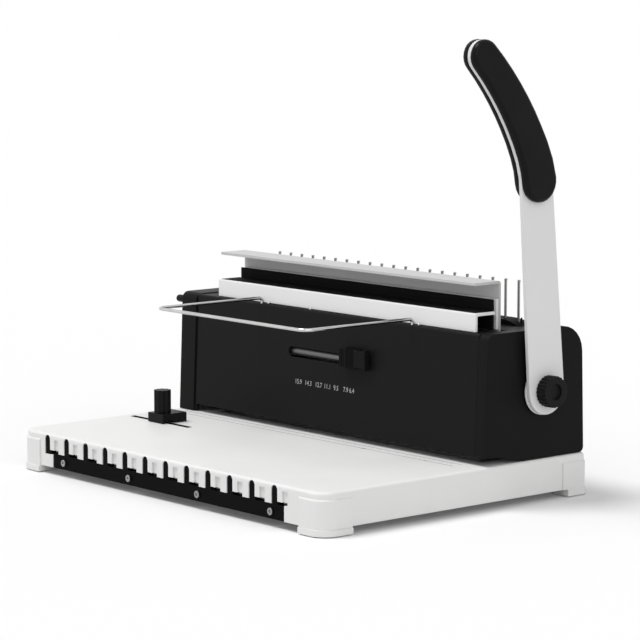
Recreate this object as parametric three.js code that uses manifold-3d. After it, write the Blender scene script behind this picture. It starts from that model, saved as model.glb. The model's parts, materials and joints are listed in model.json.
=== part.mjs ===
// Comb and wire binding machine for a desk: a white base with a paper table, a black
// body that holds a row of punches, a closing jaw for wire combs, fingers that open
// plastic combs, and one long lever at the right that drives all three.
// Millimetres, +X towards the lever, -Y towards the person who uses it, +Z up.
// Places are measured from the middle of the base, its front wall and the desk.

import * as THREE from 'three';
import { mergeVertices } from 'three/addons/utils/BufferGeometryUtils.js';
import Module from 'manifold-3d';

const wasm = await Module();
wasm.setup();

// Clearances and the overrun of every cut
const gap = 0.3;
const slideGap = 0.5;
const overrun = 2;
const mergeTolerance = 0.001;

// Binding pitch: the row of fingers and punches sets the length of the machine
const fingerPitch = 14.2875;
const fingerCount = 21;
const rowShift = 9.9;
const rowHalf = fingerPitch * (fingerCount - 1) / 2;
const bodyMargin = 42.625;
const bodyHalfLength = rowHalf + bodyMargin;

// Base with the paper table
const baseOverhang = 2;
const baseHalfLength = bodyHalfLength + baseOverhang;
const baseDepth = 266.3;
const tableHeight = 32.8;
const baseWall = 3;
const tableUnder = tableHeight - baseWall;
const wallLift = 6.2;
const baseCornerRadius = 13;
const baseRearRadius = 5.4;
const tableEdgeBevel = 2.4;
const postLength = 27;
const postProud = 1;
const postDrop = 5.4;
const postSlope = 1.6;
const footFlare = 0.9;
const footHeight = 5.4;
const rearFootLength = 22.3;
const padRadius = 9;
const padHeight = 1.6;
const padSink = 0.7;
const footFloor = padHeight - padSink;

// Rack of slots along the front wall, with a black steel strip below it
const rackSlotCount = 12;
const rackShift = -9.2;
const rackPitch = 25.89;
const rackHalf = rackPitch * (rackSlotCount - 1) / 2;
const rackSlotWidth = 7;
const rackSlotDrop = 1.2;
const rackFinWall = 5.4;
const rackRecessWidth = 6.2;
const rackRecessDepth = 1.5;
const rackFootHeight = 2.2;
const rackFootDepth = 5.8;
const rackRecessDrop = 4.4;
const rackDepth = 8;
const stripMargin = 43.1;
const stripHalfLength = baseHalfLength - stripMargin;
const stripHeight = 11.6;
const stripTop = wallLift + stripHeight;
const stripInset = 0.6;
const stripThickness = 2;
const stripBackDrop = 4.2;
const stripBackMargin = 2;
const stripBossLength = 8;
const stripBossDepth = 3.5;
const stripLegHeight = 1.5;
const stripScrewCount = 4;
const stripScrewPitch = 86.1;
const stripScrewRise = 5.5;
const stripScrewHeight = wallLift + stripScrewRise;
const screwHeadRadius = 2.8;
const screwHeadHeight = 1.5;
const screwSocketRadius = 1.3;
const screwSocketDepth = 0.9;
const screwShankRadius = 1.2;
const screwShankLength = 3.6;

// Black body: end caps, front panel and rear cover
const rearMargin = 1.5;
const bodyDepth = 103.8;
const bodyHeight = 99.2;
const leftCapDepth = 22;
const rightCapDepth = 10.5;
const capWall = 2.5;
const capRear = baseDepth - rearMargin;
const capFront = capRear - bodyDepth;
const capTop = tableHeight + bodyHeight;
const capFrontLean = 2;
const capFootReach = 1.8;
const capRearLean = 2.8;
const capFrontRadius = 6;
const capRearRadius = 21;
const capFootRadius = 4;
const seamWidth = 3;
const seamDepth = 1.5;
const throatHeight = 6.4;
const throatTop = tableHeight + throatHeight;
const throatMouthFlat = 17;
const throatMouthDepth = 38;
const throatMouthSlope = 1;
const panelLeft = leftCapDepth + gap - bodyHalfLength;
const panelRight = bodyHalfLength - rightCapDepth - gap;
const panelInset = 0.3;
const panelWall = 1.5;
const panelDrop = 0.7;
const panelTop = capTop - panelDrop;
const panelUnder = panelTop - panelWall;
const panelBendRadius = 2.5;
const coverInset = 0.8;
const coverWall = 2.5;
const coverLift = 2.2;
const coverFoot = tableHeight + coverLift;

// Size slot in the front panel, and the slider that runs in it
const sizeSlotLeft = -44.7;
const sizeSlotRight = 48;
const sizeSlotHeight = 8.2;
const sizeRise = 63.3;
const sizeLine = tableHeight + sizeRise;
const sizeKnobRise = 3;
const sizeKnobLine = sizeLine + sizeKnobRise;
const sizeKnobThickness = 5.4;
const sizeKnobRear = capFront - gap;
const sizeKnobLeft = 24.1;
const sizeGripLength = 7.7;
const sizeDiscLength = 10.4;
const sizeWaistLength = 11.6;
const sizeEndLength = 1.5;
const sizeGripHalf = 7.2;
const sizeDiscHalf = 7.9;
const sizeWaistHalf = 6.6;
const sizeEndHalf = 8.2;
const sizeWaistRun = 2.6;
const sizeWaistRadius = 3;
const sizeKnobEdge = 0.8;
const sizeRibCount = 3;
const sizeRibWidth = 0.8;
const sizeRibDepth = 0.6;
const sizeNeckLength = 9.6;
const sizeKnobPointer = sizeKnobLeft + sizeGripLength + sizeDiscLength / 2;
const sizeRodRadius = 4;
const sizeRodSetback = 1.4;
const sizeRodLeft = -62;
const sizeRodRight = 66;
const sizeBlockLength = 22;
const sizeBlockWall = 3;
const rodBracketLength = 6;

// Fixed channel of the wire closer
const channelLeftMargin = 8.7;
const channelRightMargin = 14;
const channelLeft = rowShift - rowHalf - channelLeftMargin;
const channelRight = rowShift + rowHalf + channelRightMargin;
const channelSetback = 6.2;
const channelDepth = 20.7;
const channelHeight = 14.5;
const channelFront = capFront + channelSetback;
const channelRear = channelFront + channelDepth;
const channelTop = panelTop + channelHeight;
const channelWall = 2.4;
const channelBendRadius = 1.2;

// Magnet bar and its backing plate, which move with the jaw
const magnetInset = 3.5;
const magnetRightInset = 4.2;
const magnetThickness = 2.2;
const magnetRise = 8.5;
const magnetFront = channelRear + gap;
const magnetTop = channelTop + magnetRise;
const backingInset = 5.2;
const backingRightInset = 2;
const backingThickness = 2.4;
const backingRise = 0.6;
const backingFront = magnetFront + magnetThickness + gap;

// Moving jaw
const jawLeftInset = 2;
const jawRightInset = 2.2;
const jawWall = 2.2;
const jawBendRadius = 2.6;
const jawRise = 22.6;
const jawFlangeSetback = 1.2;
const jawWideDrop = 13.3;
const jawNarrowInset = 2.8;
const jawScrewSpread = 105;
const jawScrewHeadRadius = 3;
const jawScrewHeadHeight = 1.8;
const jawScrewRadius = 1.5;
const jawScrewDepth = 6;
const jawFront = backingFront + backingThickness + gap;
const jawTop = channelTop + jawRise;
const jawWideFoot = panelTop - jawWideDrop;

// Drive: one shaft along the body, with a cam at each end for the punches and the fingers
const shaftSetback = 56.8;
const shaftRise = 52.8;
const shaftY = capFront + shaftSetback;
const shaftZ = tableHeight + shaftRise;
const shaftRadius = 5;
const leverRange = 75;
const pressTravel = 12.5;
const combTravel = 12;
const camBase = 8;
const pressCamWidth = 7;
const combCamWidth = 5;
const camClearance = 1.5;
const frameSetback = 14.5;
const frameInner = bodyHalfLength - frameSetback;
const combCamInner = frameInner - camClearance - combCamWidth;
const pressCamInner = combCamInner - camClearance - pressCamWidth;
const leverTurn = THREE.MathUtils.degToRad(leverRange);
const pressLead = pressTravel / leverTurn;
const combLead = combTravel / leverTurn;
const frameWall = 3;
const bushOuterRadius = 8;
const bushFlangeRadius = 11;
const bushFlange = 1.6;

// Row of rectangular holes: guide, die and the bar with the punches
const punchSetback = 23;
const punchLine = capFront + punchSetback;
const punchWidth = 8;
const punchDepth = 3;
const punchGap = 0.25;
const punchSet = 2.5;
const paperGap = 4.4;
const guideFrontReach = 10;
const guideRearReach = 11.4;
const guideThickness = 9;
const guideFront = punchLine - guideFrontReach;
const guideRear = punchLine + guideRearReach;
const guideFoot = tableHeight + paperGap;
const guideTop = guideFoot + guideThickness;
const dieThickness = 7;
const dieMargin = 15;
const dieLeft = rowShift - rowHalf - dieMargin;
const dieRight = rowShift + rowHalf + dieMargin;
const dieFoot = tableHeight - dieThickness;
const dieLedge = 6;
const dieLedgeHeight = 3.2;
const dieLedgeWall = 3;
const dieLedgeFoot = dieFoot - gap - dieLedgeHeight;
const earTop = shaftZ - camBase - gap;
const pressBarLift = 1.3;
const pressBarDrop = 1.4;
const pressBarDepth = 14.3;
const pressBarFoot = guideTop + pressTravel + pressBarLift;
const pressBarTop = earTop - pressBarDrop;
const pressBarRear = jawFront - gap;
const pressBarFront = pressBarRear - pressBarDepth;
const pressBarMiddle = (pressBarFoot + pressBarTop) / 2;
const pressEarReach = 3.2;
const pressEarHeight = 12;
const tongueSetback = 0.3;
const tongueDepth = 7.4;
const tongueHeight = 11;
const tongueFront = punchLine + tongueSetback;
const tongueRear = tongueFront + tongueDepth;
const springX = pressCamInner + pressCamWidth / 2;
const springAhead = 9.8;
const springY = shaftY - springAhead;
const springCoils = 7;
const springRadius = 4.2;
const springWire = 0.9;
const springPinRadius = 2.4;
const springPinHeight = 9;

// Comb opener: fingers on a carrier that slides to the rear
const fingerBehind = 8.2;
const fingerLine = shaftY + fingerBehind;
const fingerWidth = 1.6;
const fingerThickness = 1.6;
const fingerRise = 33.7;
const fingerTop = capTop + fingerRise;
const fingerHook = 0.4;
const fingerHookHeight = 2.4;
const carrierRise = 3.4;
const carrierTop = capTop + carrierRise;
const fingerPlateDrop = 9.6;
const fingerPlateTop = carrierTop - fingerPlateDrop;
const fingerPlateMargin = 5;
const carrierDepth = 15;
const carrierMargin = 7.6;
const carrierHalfLength = rowHalf + carrierMargin;
const carrierShoulder = 20;
const carrierShoulderDrop = 7;
const carrierWall = 2.5;
const combBarAhead = 4;
const combBarBehind = 6;
const combBarFront = fingerLine - combBarAhead;
const combBarRear = fingerLine + combBarBehind;
const combBarRise = 14.3;
const combBarHeight = 6;
const combBarFoot = shaftZ + combBarRise;
const combBarTop = combBarFoot + combBarHeight;
const carrierFoot = combBarTop + gap;
const tailThickness = 4;
const tailDrop = 17.7;
const stubRadius = 0.6;
const stubHeight = 3.4;
const stubInset = 4.3;

// Lever, its grip and the knob on its pivot
const leverClearance = 3.7;
const leverInner = bodyHalfLength + leverClearance;
const leverThickness = 3.2;
const leverOuter = leverInner + leverThickness;
const leverPivotRadius = 18.2;
const leverNeckRadius = 16.2;
const leverGripRadius = 14.3;
const leverEndRadius = 12.1;
const leverLeanAngle = 4.5;
const leverStraight = 153.5;
const leverElbowLength = 29;
const leverElbowAngle = 20.2;
const leverTipLength = 88;
const leverTipAngle = 21.2;
const leverBendLength = leverElbowLength + leverTipLength;
const leverLength = leverStraight + leverBendLength;
const hubRadius = 18.6;
const hubThickness = 2;
const gripThickness = 5.5;
const gripEdge = 3;
const gripFoot = 143.6;
const gripProud = 0.4;
const gripWaistShare = 0.35;
const leverSteps = 9;
const studRadius = 3;
const studLength = 6;
const pivotKnobRadius = 12.2;
const pivotKnobLength = 9.1;
const pivotKnurlCount = 24;
const pivotKnurlDepth = 0.9;
const pivotDishRadius = 6.2;
const pivotDishDepth = 2.2;

// Depth knob at the left and the stop that it moves
const depthKnobSetback = 9.6;
const depthKnobDrop = 7.6;
const depthKnobY = capFront + depthKnobSetback;
const depthKnobZ = capTop - depthKnobDrop;
const depthKnobRadius = 3.1;
const depthKnobLength = 16;
const depthSpindleRadius = 1.6;
const depthTravel = 2.5;
const depthRange = 90;
const depthTurn = THREE.MathUtils.degToRad(depthRange);
const depthLead = depthTravel / depthTurn;
const depthCamBase = 3;
const depthCamWidth = 2;
const depthStopClearance = 0.6;
const depthStopFront = punchLine + punchDepth / 2 + depthStopClearance;
const depthStopThickness = 2;
const depthStopHeight = 2.8;
const depthLinkOut = 5.4;
const depthLinkX = -(frameInner + frameWall + depthLinkOut);
const depthLinkWidth = 6;
const depthLinkThickness = 1.6;

// Side frames
const frameFrontSetback = 17.6;
const frameRearMargin = 7;
const frameTopDrop = 4.6;
const frameFront = capFront + frameFrontSetback;
const frameRear = capRear - frameRearMargin;
const frameTop = capTop - frameTopDrop;
const frameRadius = 16;
const frameNotchHeight = 8;
const frameNotchBehind = 3.6;
const frameEarReach = 3.2;
const frameEarDrop = 8.4;
const frameFootWidth = 14;
const frameFootBehind = 5.2;
const frameFootMargin = 8.5;

// Paper guide on the table
const guideSlotAhead = 56.6;
const guideSlotY = capFront - guideSlotAhead;
const guideSlotMargin = 9.8;
const guideSlotLength = 76.5;
const guideSlotLeft = guideSlotMargin - baseHalfLength;
const guideSlotWidth = 4;
const guideReach = 40.7;
const guideX = guideSlotLeft + guideReach;
const guideBlockWidth = 20;
const guideBlockAhead = 7.4;
const guideBlockBehind = 17.1;
const guideBlockHeight = 7.6;
const guideStemRadius = 1.6;
const guideArchRadius = 7;
const guideArchHeight = 2.2;
const guideKnobRadius = 7.3;
const guideKnobHeight = 18.6;
const guideFluteCount = 10;
const guideFluteDepth = 1.3;
const guideNutLength = 15;
const guideNutWidth = 12;
const guideNutThickness = 3.4;

// Wire rest in front of the closer
const bailLeftReach = 92.9;
const bailRightReach = 88.7;
const bailLeft = rowShift - bailLeftReach;
const bailRight = rowShift + bailRightReach;
const bailRadius = 1.35;
const bailLegAhead = 1.4;
const bailLegY = channelFront - bailLegAhead;
const bailReach = 108;
const bailRise = 4.1;
const bailHeight = panelTop + bailRise;
const bailBend = 3.2;
const bailCorner = 8.5;
const bailLegDepth = 11.5;
const bailLegFoot = panelTop - bailLegDepth;
const bailBossHalf = 4;
const bailBossFloor = 1.5;
const rivetRadius = 1;
const rivetHeight = 1.3;
const rivetAhead = 2.2;
const rivetPlaces = [-73.6, -21.2, 107];

// Tray for the punched chips
const trayMargin = 13.1;
const trayLeft = rowShift - rowHalf - trayMargin;
const trayRight = rowShift + rowHalf + trayMargin;
const trayAhead = 6;
const trayFront = guideFront - trayAhead;
const trayClearance = 0.7;
const trayTop = dieLedgeFoot - trayClearance;
const trayWall = 1.8;
const trayFaceWall = 2.6;
const trayGripWidth = 60;
const trayGripHeight = 6;
const railWall = 2.5;
const railLedge = 5;
const railLedgeThickness = 2;

// Small dimples in the table
const dimplePlaces = [65.2, 136.2];
const dimpleAhead = 14.8;
const dimpleRadius = 1.9;
const dimpleDepth = 0.8;

// Facets
const knobSides = 40;
const shaftSides = 24;
const smallSides = 12;
const socketSides = 6;
const arcSteps = 6;
const camSteps = 14;
const bevelSteps = 3;
const pivotKnurlPoints = 4;
const flutePoints = 5;
const wireSides = 8;
const coilSteps = 8;
const coilSides = 5;
const slotEndShare = 0.48;

// Materials
function finish(color, roughness, metalness) {
  return new THREE.MeshStandardMaterial({ color, roughness, metalness });
}
const whitePlastic = finish(0xe4e4e2, 0.45, 0);
const whiteSteel = finish(0xe6e6e4, 0.35, 0.1);
const blackPlastic = finish(0x232323, 0.5, 0);
const blackSteel = finish(0x191919, 0.45, 0.2);
const greySteel = finish(0x6b6b6b, 0.4, 0.8);
const brightSteel = finish(0xa9a9a9, 0.3, 1);
const chrome = finish(0xd2d2d2, 0.12, 1);
const darkRubber = finish(0x1b1b1b, 0.75, 0);

// A closed geometry as a solid that can be joined and cut
function solidOf(geometry) {
  const bare = geometry.clone();
  bare.deleteAttribute('normal');
  bare.deleteAttribute('uv');
  const merged = mergeVertices(bare, mergeTolerance);
  const vertProperties = new Float32Array(merged.attributes.position.array);
  const triVerts = new Uint32Array(merged.index.array);
  return new wasm.Manifold(new wasm.Mesh({ numProp: 3, vertProperties, triVerts }));
}

// A solid back as a geometry for a mesh
function geometryOf(solid) {
  const mesh = solid.getMesh();
  const geometry = new THREE.BufferGeometry();
  geometry.setAttribute('position', new THREE.BufferAttribute(mesh.vertProperties, mesh.numProp));
  geometry.setIndex(new THREE.BufferAttribute(mesh.triVerts, 1));
  geometry.computeVertexNormals();
  return geometry;
}

function joined(...solids) {
  return solids.reduce((whole, next) => whole.add(next));
}

function cut(solid, ...tools) {
  return tools.reduce((rest, tool) => rest.subtract(tool), solid);
}

function shifted(solid, x, y, z) {
  return solidOf(geometryOf(solid).translate(x, y, z));
}

// The same piece for the other end of the machine
function mirrored(solid) {
  const geometry = geometryOf(solid).scale(-1, 1, 1);
  const index = geometry.index.array;
  for (let corner = 0; corner < index.length; corner += 3) {
    [index[corner], index[corner + 1]] = [index[corner + 1], index[corner]];
  }
  return solidOf(geometry);
}

// A box between two places along each axis
function block(x0, x1, y0, y1, z0, z1) {
  const geometry = new THREE.BoxGeometry(x1 - x0, y1 - y0, z1 - z0);
  geometry.translate((x0 + x1) / 2, (y0 + y1) / 2, (z0 + z1) / 2);
  return solidOf(geometry);
}

// Round bars along each axis
function barX(radius, x0, x1, y, z, sides = shaftSides) {
  const geometry = new THREE.CylinderGeometry(radius, radius, x1 - x0, sides);
  geometry.rotateZ(-Math.PI / 2);
  geometry.translate((x0 + x1) / 2, y, z);
  return solidOf(geometry);
}

function barY(radius, x, y0, y1, z, sides = smallSides) {
  const geometry = new THREE.CylinderGeometry(radius, radius, y1 - y0, sides);
  geometry.translate(x, (y0 + y1) / 2, z);
  return solidOf(geometry);
}

function barZ(radius, x, y, z0, z1, sides = smallSides) {
  const geometry = new THREE.CylinderGeometry(radius, radius, z1 - z0, sides);
  geometry.rotateX(Math.PI / 2);
  geometry.translate(x, y, (z0 + z1) / 2);
  return solidOf(geometry);
}

// An outline whose corners [u, v, radius] are rounded
function rounded(corners) {
  const points = [];
  corners.forEach(([u, v, radius = 0], index) => {
    const corner = new THREE.Vector2(u, v);
    if (radius <= 0) {
      points.push(corner);
      return;
    }
    const before = corners[(index + corners.length - 1) % corners.length];
    const after = corners[(index + 1) % corners.length];
    const toBefore = new THREE.Vector2(before[0], before[1]).sub(corner).normalize();
    const toAfter = new THREE.Vector2(after[0], after[1]).sub(corner).normalize();
    const halfAngle = Math.acos(toBefore.dot(toAfter)) / 2;
    const middle = toBefore.clone().add(toAfter).normalize();
    const centre = corner.clone().addScaledVector(middle, radius / Math.sin(halfAngle));
    const first = corner.clone().addScaledVector(toBefore, radius / Math.tan(halfAngle));
    const start = first.clone().sub(centre);
    const turn = Math.sign(toBefore.cross(toAfter)) * (Math.PI - 2 * halfAngle);
    for (let step = 0; step <= arcSteps; step += 1) {
      const swung = start.clone().rotateAround(new THREE.Vector2(), -turn * step / arcSteps);
      points.push(centre.clone().add(swung));
    }
  });
  return points;
}

// Outlines pushed along each axis: (y, z) along X, (x, z) along Y and (x, y) along Z
function pushed(points, length, bevel = {}) {
  const settings = { depth: length, bevelEnabled: false, ...bevel };
  return new THREE.ExtrudeGeometry(new THREE.Shape(points), settings);
}

// Settings of a soft edge that stays inside the outline
function softEdge(thickness, size = thickness) {
  return {
    bevelEnabled: true,
    bevelThickness: thickness,
    bevelSize: size,
    bevelOffset: -size,
    bevelSegments: bevelSteps,
  };
}

function alongX(points, x0, x1) {
  const geometry = pushed(points, x1 - x0);
  const turn = new THREE.Matrix4().makeBasis(
    new THREE.Vector3(0, 1, 0), new THREE.Vector3(0, 0, 1), new THREE.Vector3(1, 0, 0));
  geometry.applyMatrix4(turn);
  geometry.translate(x0, 0, 0);
  return solidOf(geometry);
}

function alongY(points, y0, y1) {
  const geometry = pushed(points, y1 - y0);
  geometry.rotateX(Math.PI / 2);
  geometry.translate(0, y1, 0);
  return solidOf(geometry);
}

function alongZ(points, z0, z1) {
  const geometry = pushed(points, z1 - z0);
  geometry.translate(0, 0, z0);
  return solidOf(geometry);
}

// A profile [radius, x] turned round an axis along X
function turnedX(profile, y, z, sides = knobSides) {
  const points = profile.map(([radius, x]) => new THREE.Vector2(radius, x));
  const geometry = new THREE.LatheGeometry(points, sides);
  geometry.rotateZ(-Math.PI / 2);
  geometry.translate(0, y, z);
  return solidOf(geometry);
}

// A round outline with even flutes
function flutedOutline(radius, count, depth, pointsEach) {
  const total = count * pointsEach;
  return Array.from({ length: total }, (_, index) => {
    const angle = 2 * Math.PI * index / total;
    const dip = depth * (1 - Math.cos(angle * count)) / 2;
    return new THREE.Vector2((radius - dip) * Math.cos(angle), (radius - dip) * Math.sin(angle));
  });
}

function moved(points, u, v) {
  return points.map((point) => new THREE.Vector2(point.x + u, point.y + v));
}

// A path through stations, with one section of the bar at each of them
class StationPath extends THREE.Curve {
  constructor(stations) {
    super();
    this.stations = stations;
  }

  getUtoTmapping(u) {
    return u;
  }

  getPoint(t) {
    const place = t * (this.stations.length - 1);
    const index = Math.min(Math.floor(place), this.stations.length - 2);
    return this.stations[index].clone().lerp(this.stations[index + 1], place - index);
  }

  getTangent(t) {
    const last = this.stations.length - 1;
    const index = Math.round(t * last);
    const before = this.stations[Math.max(index - 1, 0)];
    const here = this.stations[index];
    const after = this.stations[Math.min(index + 1, last)];
    const arriving = here.clone().sub(before).normalize();
    const leaving = after.clone().sub(here).normalize();
    return arriving.add(leaving).normalize();
  }
}

function wire(stations, radius, sides) {
  const section = flutedOutline(radius, sides, 0, 1);
  const settings = { steps: stations.length - 1, extrudePath: new StationPath(stations) };
  return solidOf(new THREE.ExtrudeGeometry(new THREE.Shape(section), settings));
}

// A cam whose push grows evenly with the turn. It points along -Z at rest, and its
// outline is the involute that keeps a flat follower moving by lead for each radian.
function camOutline(lead, turn, base) {
  const points = [];
  for (let step = 0; step <= camSteps; step += 1) {
    const angle = turn * step / camSteps;
    const push = base + lead * angle;
    points.push([angle + Math.atan2(lead, push), Math.hypot(lead, push)]);
  }
  const [tipAngle, tipReach] = points[points.length - 1];
  const start = tipAngle + Math.acos(base / tipReach);
  for (let step = 0; step <= camSteps; step += 1) {
    points.push([start + (2 * Math.PI - start) * step / camSteps, base]);
  }
  return points.map(([angle, reach]) => (
    new THREE.Vector2(-reach * Math.sin(angle), -reach * Math.cos(angle))));
}

function quarterTurned(points) {
  return points.map((point) => new THREE.Vector2(-point.y, point.x));
}

// Base tray
function baseOutline(grow) {
  const front = baseCornerRadius + grow;
  const rear = baseRearRadius + grow;
  return rounded([
    [-baseHalfLength - grow, -grow, front],
    [baseHalfLength + grow, -grow, front],
    [baseHalfLength + grow, baseDepth + grow, rear],
    [-baseHalfLength - grow, baseDepth + grow, rear],
  ]);
}

function cornerBlocks(frontLength, rearLength, z0, z1) {
  const reach = baseHalfLength + postProud + footFlare + overrun;
  const parts = [];
  [-1, 1].forEach((side) => {
    const inner = (baseHalfLength - frontLength + postProud) * side;
    const outer = reach * side;
    const x0 = Math.min(inner, outer);
    const x1 = Math.max(inner, outer);
    const rearFront = baseDepth + postProud - rearLength;
    parts.push(block(x0, x1, -reach, frontLength, z0, z1));
    parts.push(block(x0, x1, rearFront, baseDepth + reach, z0, z1));
  });
  return joined(...parts);
}

// The corner posts stand a little proud of the walls and slope back to them at the top
function cornerPosts() {
  const height = tableHeight - postDrop - postSlope - wallLift;
  const geometry = pushed(baseOutline(postProud), height, softEdge(postSlope, postProud + gap));
  geometry.translate(0, 0, wallLift);
  return solidOf(geometry).intersect(cornerBlocks(postLength, postLength, wallLift, tableHeight));
}

function baseShell() {
  const height = tableHeight - wallLift;
  const geometry = pushed(baseOutline(0), height, softEdge(tableEdgeBevel));
  geometry.translate(0, 0, tableHeight - tableEdgeBevel - height);
  const wide = 2 * baseHalfLength;
  const below = block(-wide, wide, -baseDepth, 2 * baseDepth, -height, wallLift);
  const shell = solidOf(geometry).subtract(below);
  const soles = alongZ(baseOutline(postProud), footFloor, wallLift + overrun)
    .intersect(cornerBlocks(postLength, rearFootLength, 0, tableHeight));
  const cavity = alongZ(baseOutline(-baseWall), wallLift, tableUnder);
  const flares = alongZ(baseOutline(postProud + footFlare), footFloor, footHeight)
    .intersect(cornerBlocks(postLength, rearFootLength, 0, tableHeight));
  return joined(shell, cornerPosts(), soles).subtract(cavity).add(flares);
}

function padPlaces() {
  const inset = postLength / 2 - postProud;
  const rearInset = rearFootLength / 2 - postProud;
  return [
    ['rubber_foot_front_left', inset - baseHalfLength, inset],
    ['rubber_foot_front_right', baseHalfLength - inset, inset],
    ['rubber_foot_rear_left', inset - baseHalfLength, baseDepth - rearInset],
    ['rubber_foot_rear_right', baseHalfLength - inset, baseDepth - rearInset],
  ];
}

function rackSlotX(index) {
  return rackShift - rackHalf + index * rackPitch;
}

function stripScrewX(index) {
  return (index - (stripScrewCount - 1) / 2) * stripScrewPitch;
}

// Outline of one slot in the rack, or of what fills it with some clearance
function rackSlotOutline(index, clearance) {
  const half = rackSlotWidth / 2 - clearance;
  const left = rackSlotX(index) - half;
  const right = rackSlotX(index) + half;
  const round = 2 * half * slotEndShare;
  const foot = stripTop - stripLegHeight;
  const top = tableHeight - rackSlotDrop - clearance;
  return rounded([[left, foot], [right, foot], [right, top, round], [left, top, round]]);
}

function rackCuts() {
  const tools = [];
  for (let index = 0; index < rackSlotCount; index += 1) {
    tools.push(alongY(rackSlotOutline(index, 0), -overrun, rackDepth + overrun));
    const recess = rackSlotX(index) + rackSlotWidth / 2 + rackFinWall;
    const end = recess + rackRecessWidth;
    tools.push(block(recess, end, -overrun, rackRecessDepth, stripTop, tableHeight - rackRecessDrop));
    tools.push(block(rackSlotX(index), end, -overrun, rackFootDepth, stripTop, stripTop + rackFootHeight));
  }
  const legLeft = rackSlotX(0) - rackSlotWidth / 2;
  tools.push(block(legLeft, -stripHalfLength, -overrun, rackDepth, stripTop - stripLegHeight, stripTop));
  const window = [-stripHalfLength, stripHalfLength, -overrun, rackDepth + overrun];
  tools.push(block(...window, wallLift - overrun, stripTop));
  return tools;
}

function stripBosses() {
  const back = stripInset + rackDepth + 2 * stripThickness;
  const parts = [];
  for (let index = 0; index < stripScrewCount; index += 1) {
    const x0 = stripScrewX(index) - stripBossLength / 2;
    const x1 = x0 + stripBossLength;
    const front = stripInset + stripThickness + gap;
    const under = stripTop - gap - stripThickness - gap;
    const pad = block(x0, x1, front, back + stripBossDepth, wallLift, under);
    const riser = block(x0, x1, back, back + stripBossDepth, wallLift, tableUnder + baseWall / 2);
    const hole = barY(screwShankRadius + gap, stripScrewX(index), 0, back, stripScrewHeight);
    parts.push(pad.add(riser).subtract(hole));
  }
  return parts;
}

function dieLedges() {
  return [[dieLeft, -1], [dieRight, 1]].map(([end, side]) => {
    const inner = end - side * dieLedge;
    const outer = end + side * (gap + dieLedgeWall);
    const x0 = Math.min(inner, outer);
    const x1 = Math.max(inner, outer);
    const shelf = block(x0, x1, guideFront, guideRear, dieLedgeFoot, dieFoot - gap);
    const wall0 = Math.min(end + side * gap, outer);
    const wall1 = Math.max(end + side * gap, outer);
    const top = tableHeight - baseWall / 2;
    return shelf.add(block(wall0, wall1, guideFront, guideRear, dieLedgeFoot, top));
  });
}

function trayRails() {
  const rear = baseDepth - baseWall / 2;
  return [[trayLeft, -1], [trayRight, 1]].map(([end, side]) => {
    const outer = end + side * (slideGap + railWall);
    const web = [end + side * slideGap, outer].sort((a, b) => a - b);
    const ledge = [end - side * railLedge, outer].sort((a, b) => a - b);
    return block(...web, trayFront, rear, wallLift, tableHeight - baseWall / 2)
      .add(block(...ledge, trayFront, rear, wallLift, wallLift + railLedgeThickness));
  });
}

function springPins() {
  return [-springX, springX].map((x) => (
    barZ(springPinRadius, x, springY, tableHeight - baseWall / 2, tableHeight + springPinHeight)));
}

function baseTray() {
  const rackEnd = baseHalfLength - baseCornerRadius;
  const rackBlock = block(-rackEnd, rackEnd, baseWall / 2, rackDepth, stripTop, tableHeight - baseWall / 2);
  const body = joined(baseShell(), rackBlock, ...dieLedges(), ...trayRails(), ...springPins());
  const die = block(dieLeft - gap, dieRight + gap, guideFront - gap, guideRear + gap,
    dieFoot - gap, tableHeight + overrun);
  const guideSlot = block(guideSlotLeft, guideSlotLeft + guideSlotLength,
    guideSlotY - guideSlotWidth / 2, guideSlotY + guideSlotWidth / 2, tableUnder - overrun,
    tableHeight + overrun);
  const trayDoor = block(trayLeft - slideGap, trayRight + slideGap, baseDepth - baseWall - overrun,
    baseDepth + overrun, 0, trayTop + slideGap);
  const dimples = dimplePlaces.map((x) => (
    barZ(dimpleRadius, x, capFront - dimpleAhead, tableHeight - dimpleDepth, tableHeight + overrun)));
  const seats = padPlaces().map(([, x, y]) => (
    barZ(padRadius + gap, x, y, footFloor - overrun, padHeight + gap, shaftSides)));
  const tray = cut(body, ...rackCuts(), die, guideSlot, trayDoor, ...dimples, ...seats);
  return joined(tray, ...stripBosses());
}

function rubberFoot() {
  return barZ(padRadius, 0, 0, 0, padHeight, shaftSides);
}

// Black strip below the rack with one tooth in each slot, and its screws
function frontStrip() {
  const front = stripInset;
  const back = stripInset + stripThickness;
  const top = stripTop - gap;
  const web = rackDepth + gap;
  const end = stripHalfLength - gap;
  const section = [
    [front, wallLift], [back, wallLift], [back, top - stripThickness],
    [web + stripThickness, top - stripThickness], [web + stripThickness, top], [front, top],
  ];
  const bar = alongX(rounded(section), -end, end);
  const left = rackSlotX(0) - rackSlotWidth / 2 - stripBackMargin;
  const right = rackSlotX(rackSlotCount - 1) + rackSlotWidth / 2 + rackFinWall + rackRecessWidth
    + stripBackMargin;
  const rise = block(left, right, web, web + stripThickness, top - stripThickness,
    tableHeight - stripBackDrop);
  const teeth = Array.from({ length: rackSlotCount }, (_, index) => (
    alongY(rackSlotOutline(index, gap), front, web + stripThickness / 2)));
  const holes = [];
  for (let index = 0; index < stripScrewCount; index += 1) {
    holes.push(barY(screwShankRadius + gap, stripScrewX(index), 0, back + gap, stripScrewHeight));
  }
  return cut(joined(bar, rise, ...teeth), ...holes);
}

function stripScrew() {
  const face = stripInset - gap;
  const head = barY(screwHeadRadius, 0, face - screwHeadHeight, face, 0);
  const socket = barY(screwSocketRadius, 0, face - screwHeadHeight - overrun,
    face - screwHeadHeight + screwSocketDepth, 0, socketSides);
  return head.subtract(socket).add(barY(screwShankRadius, 0, face - gap, face + screwShankLength, 0));
}

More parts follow.
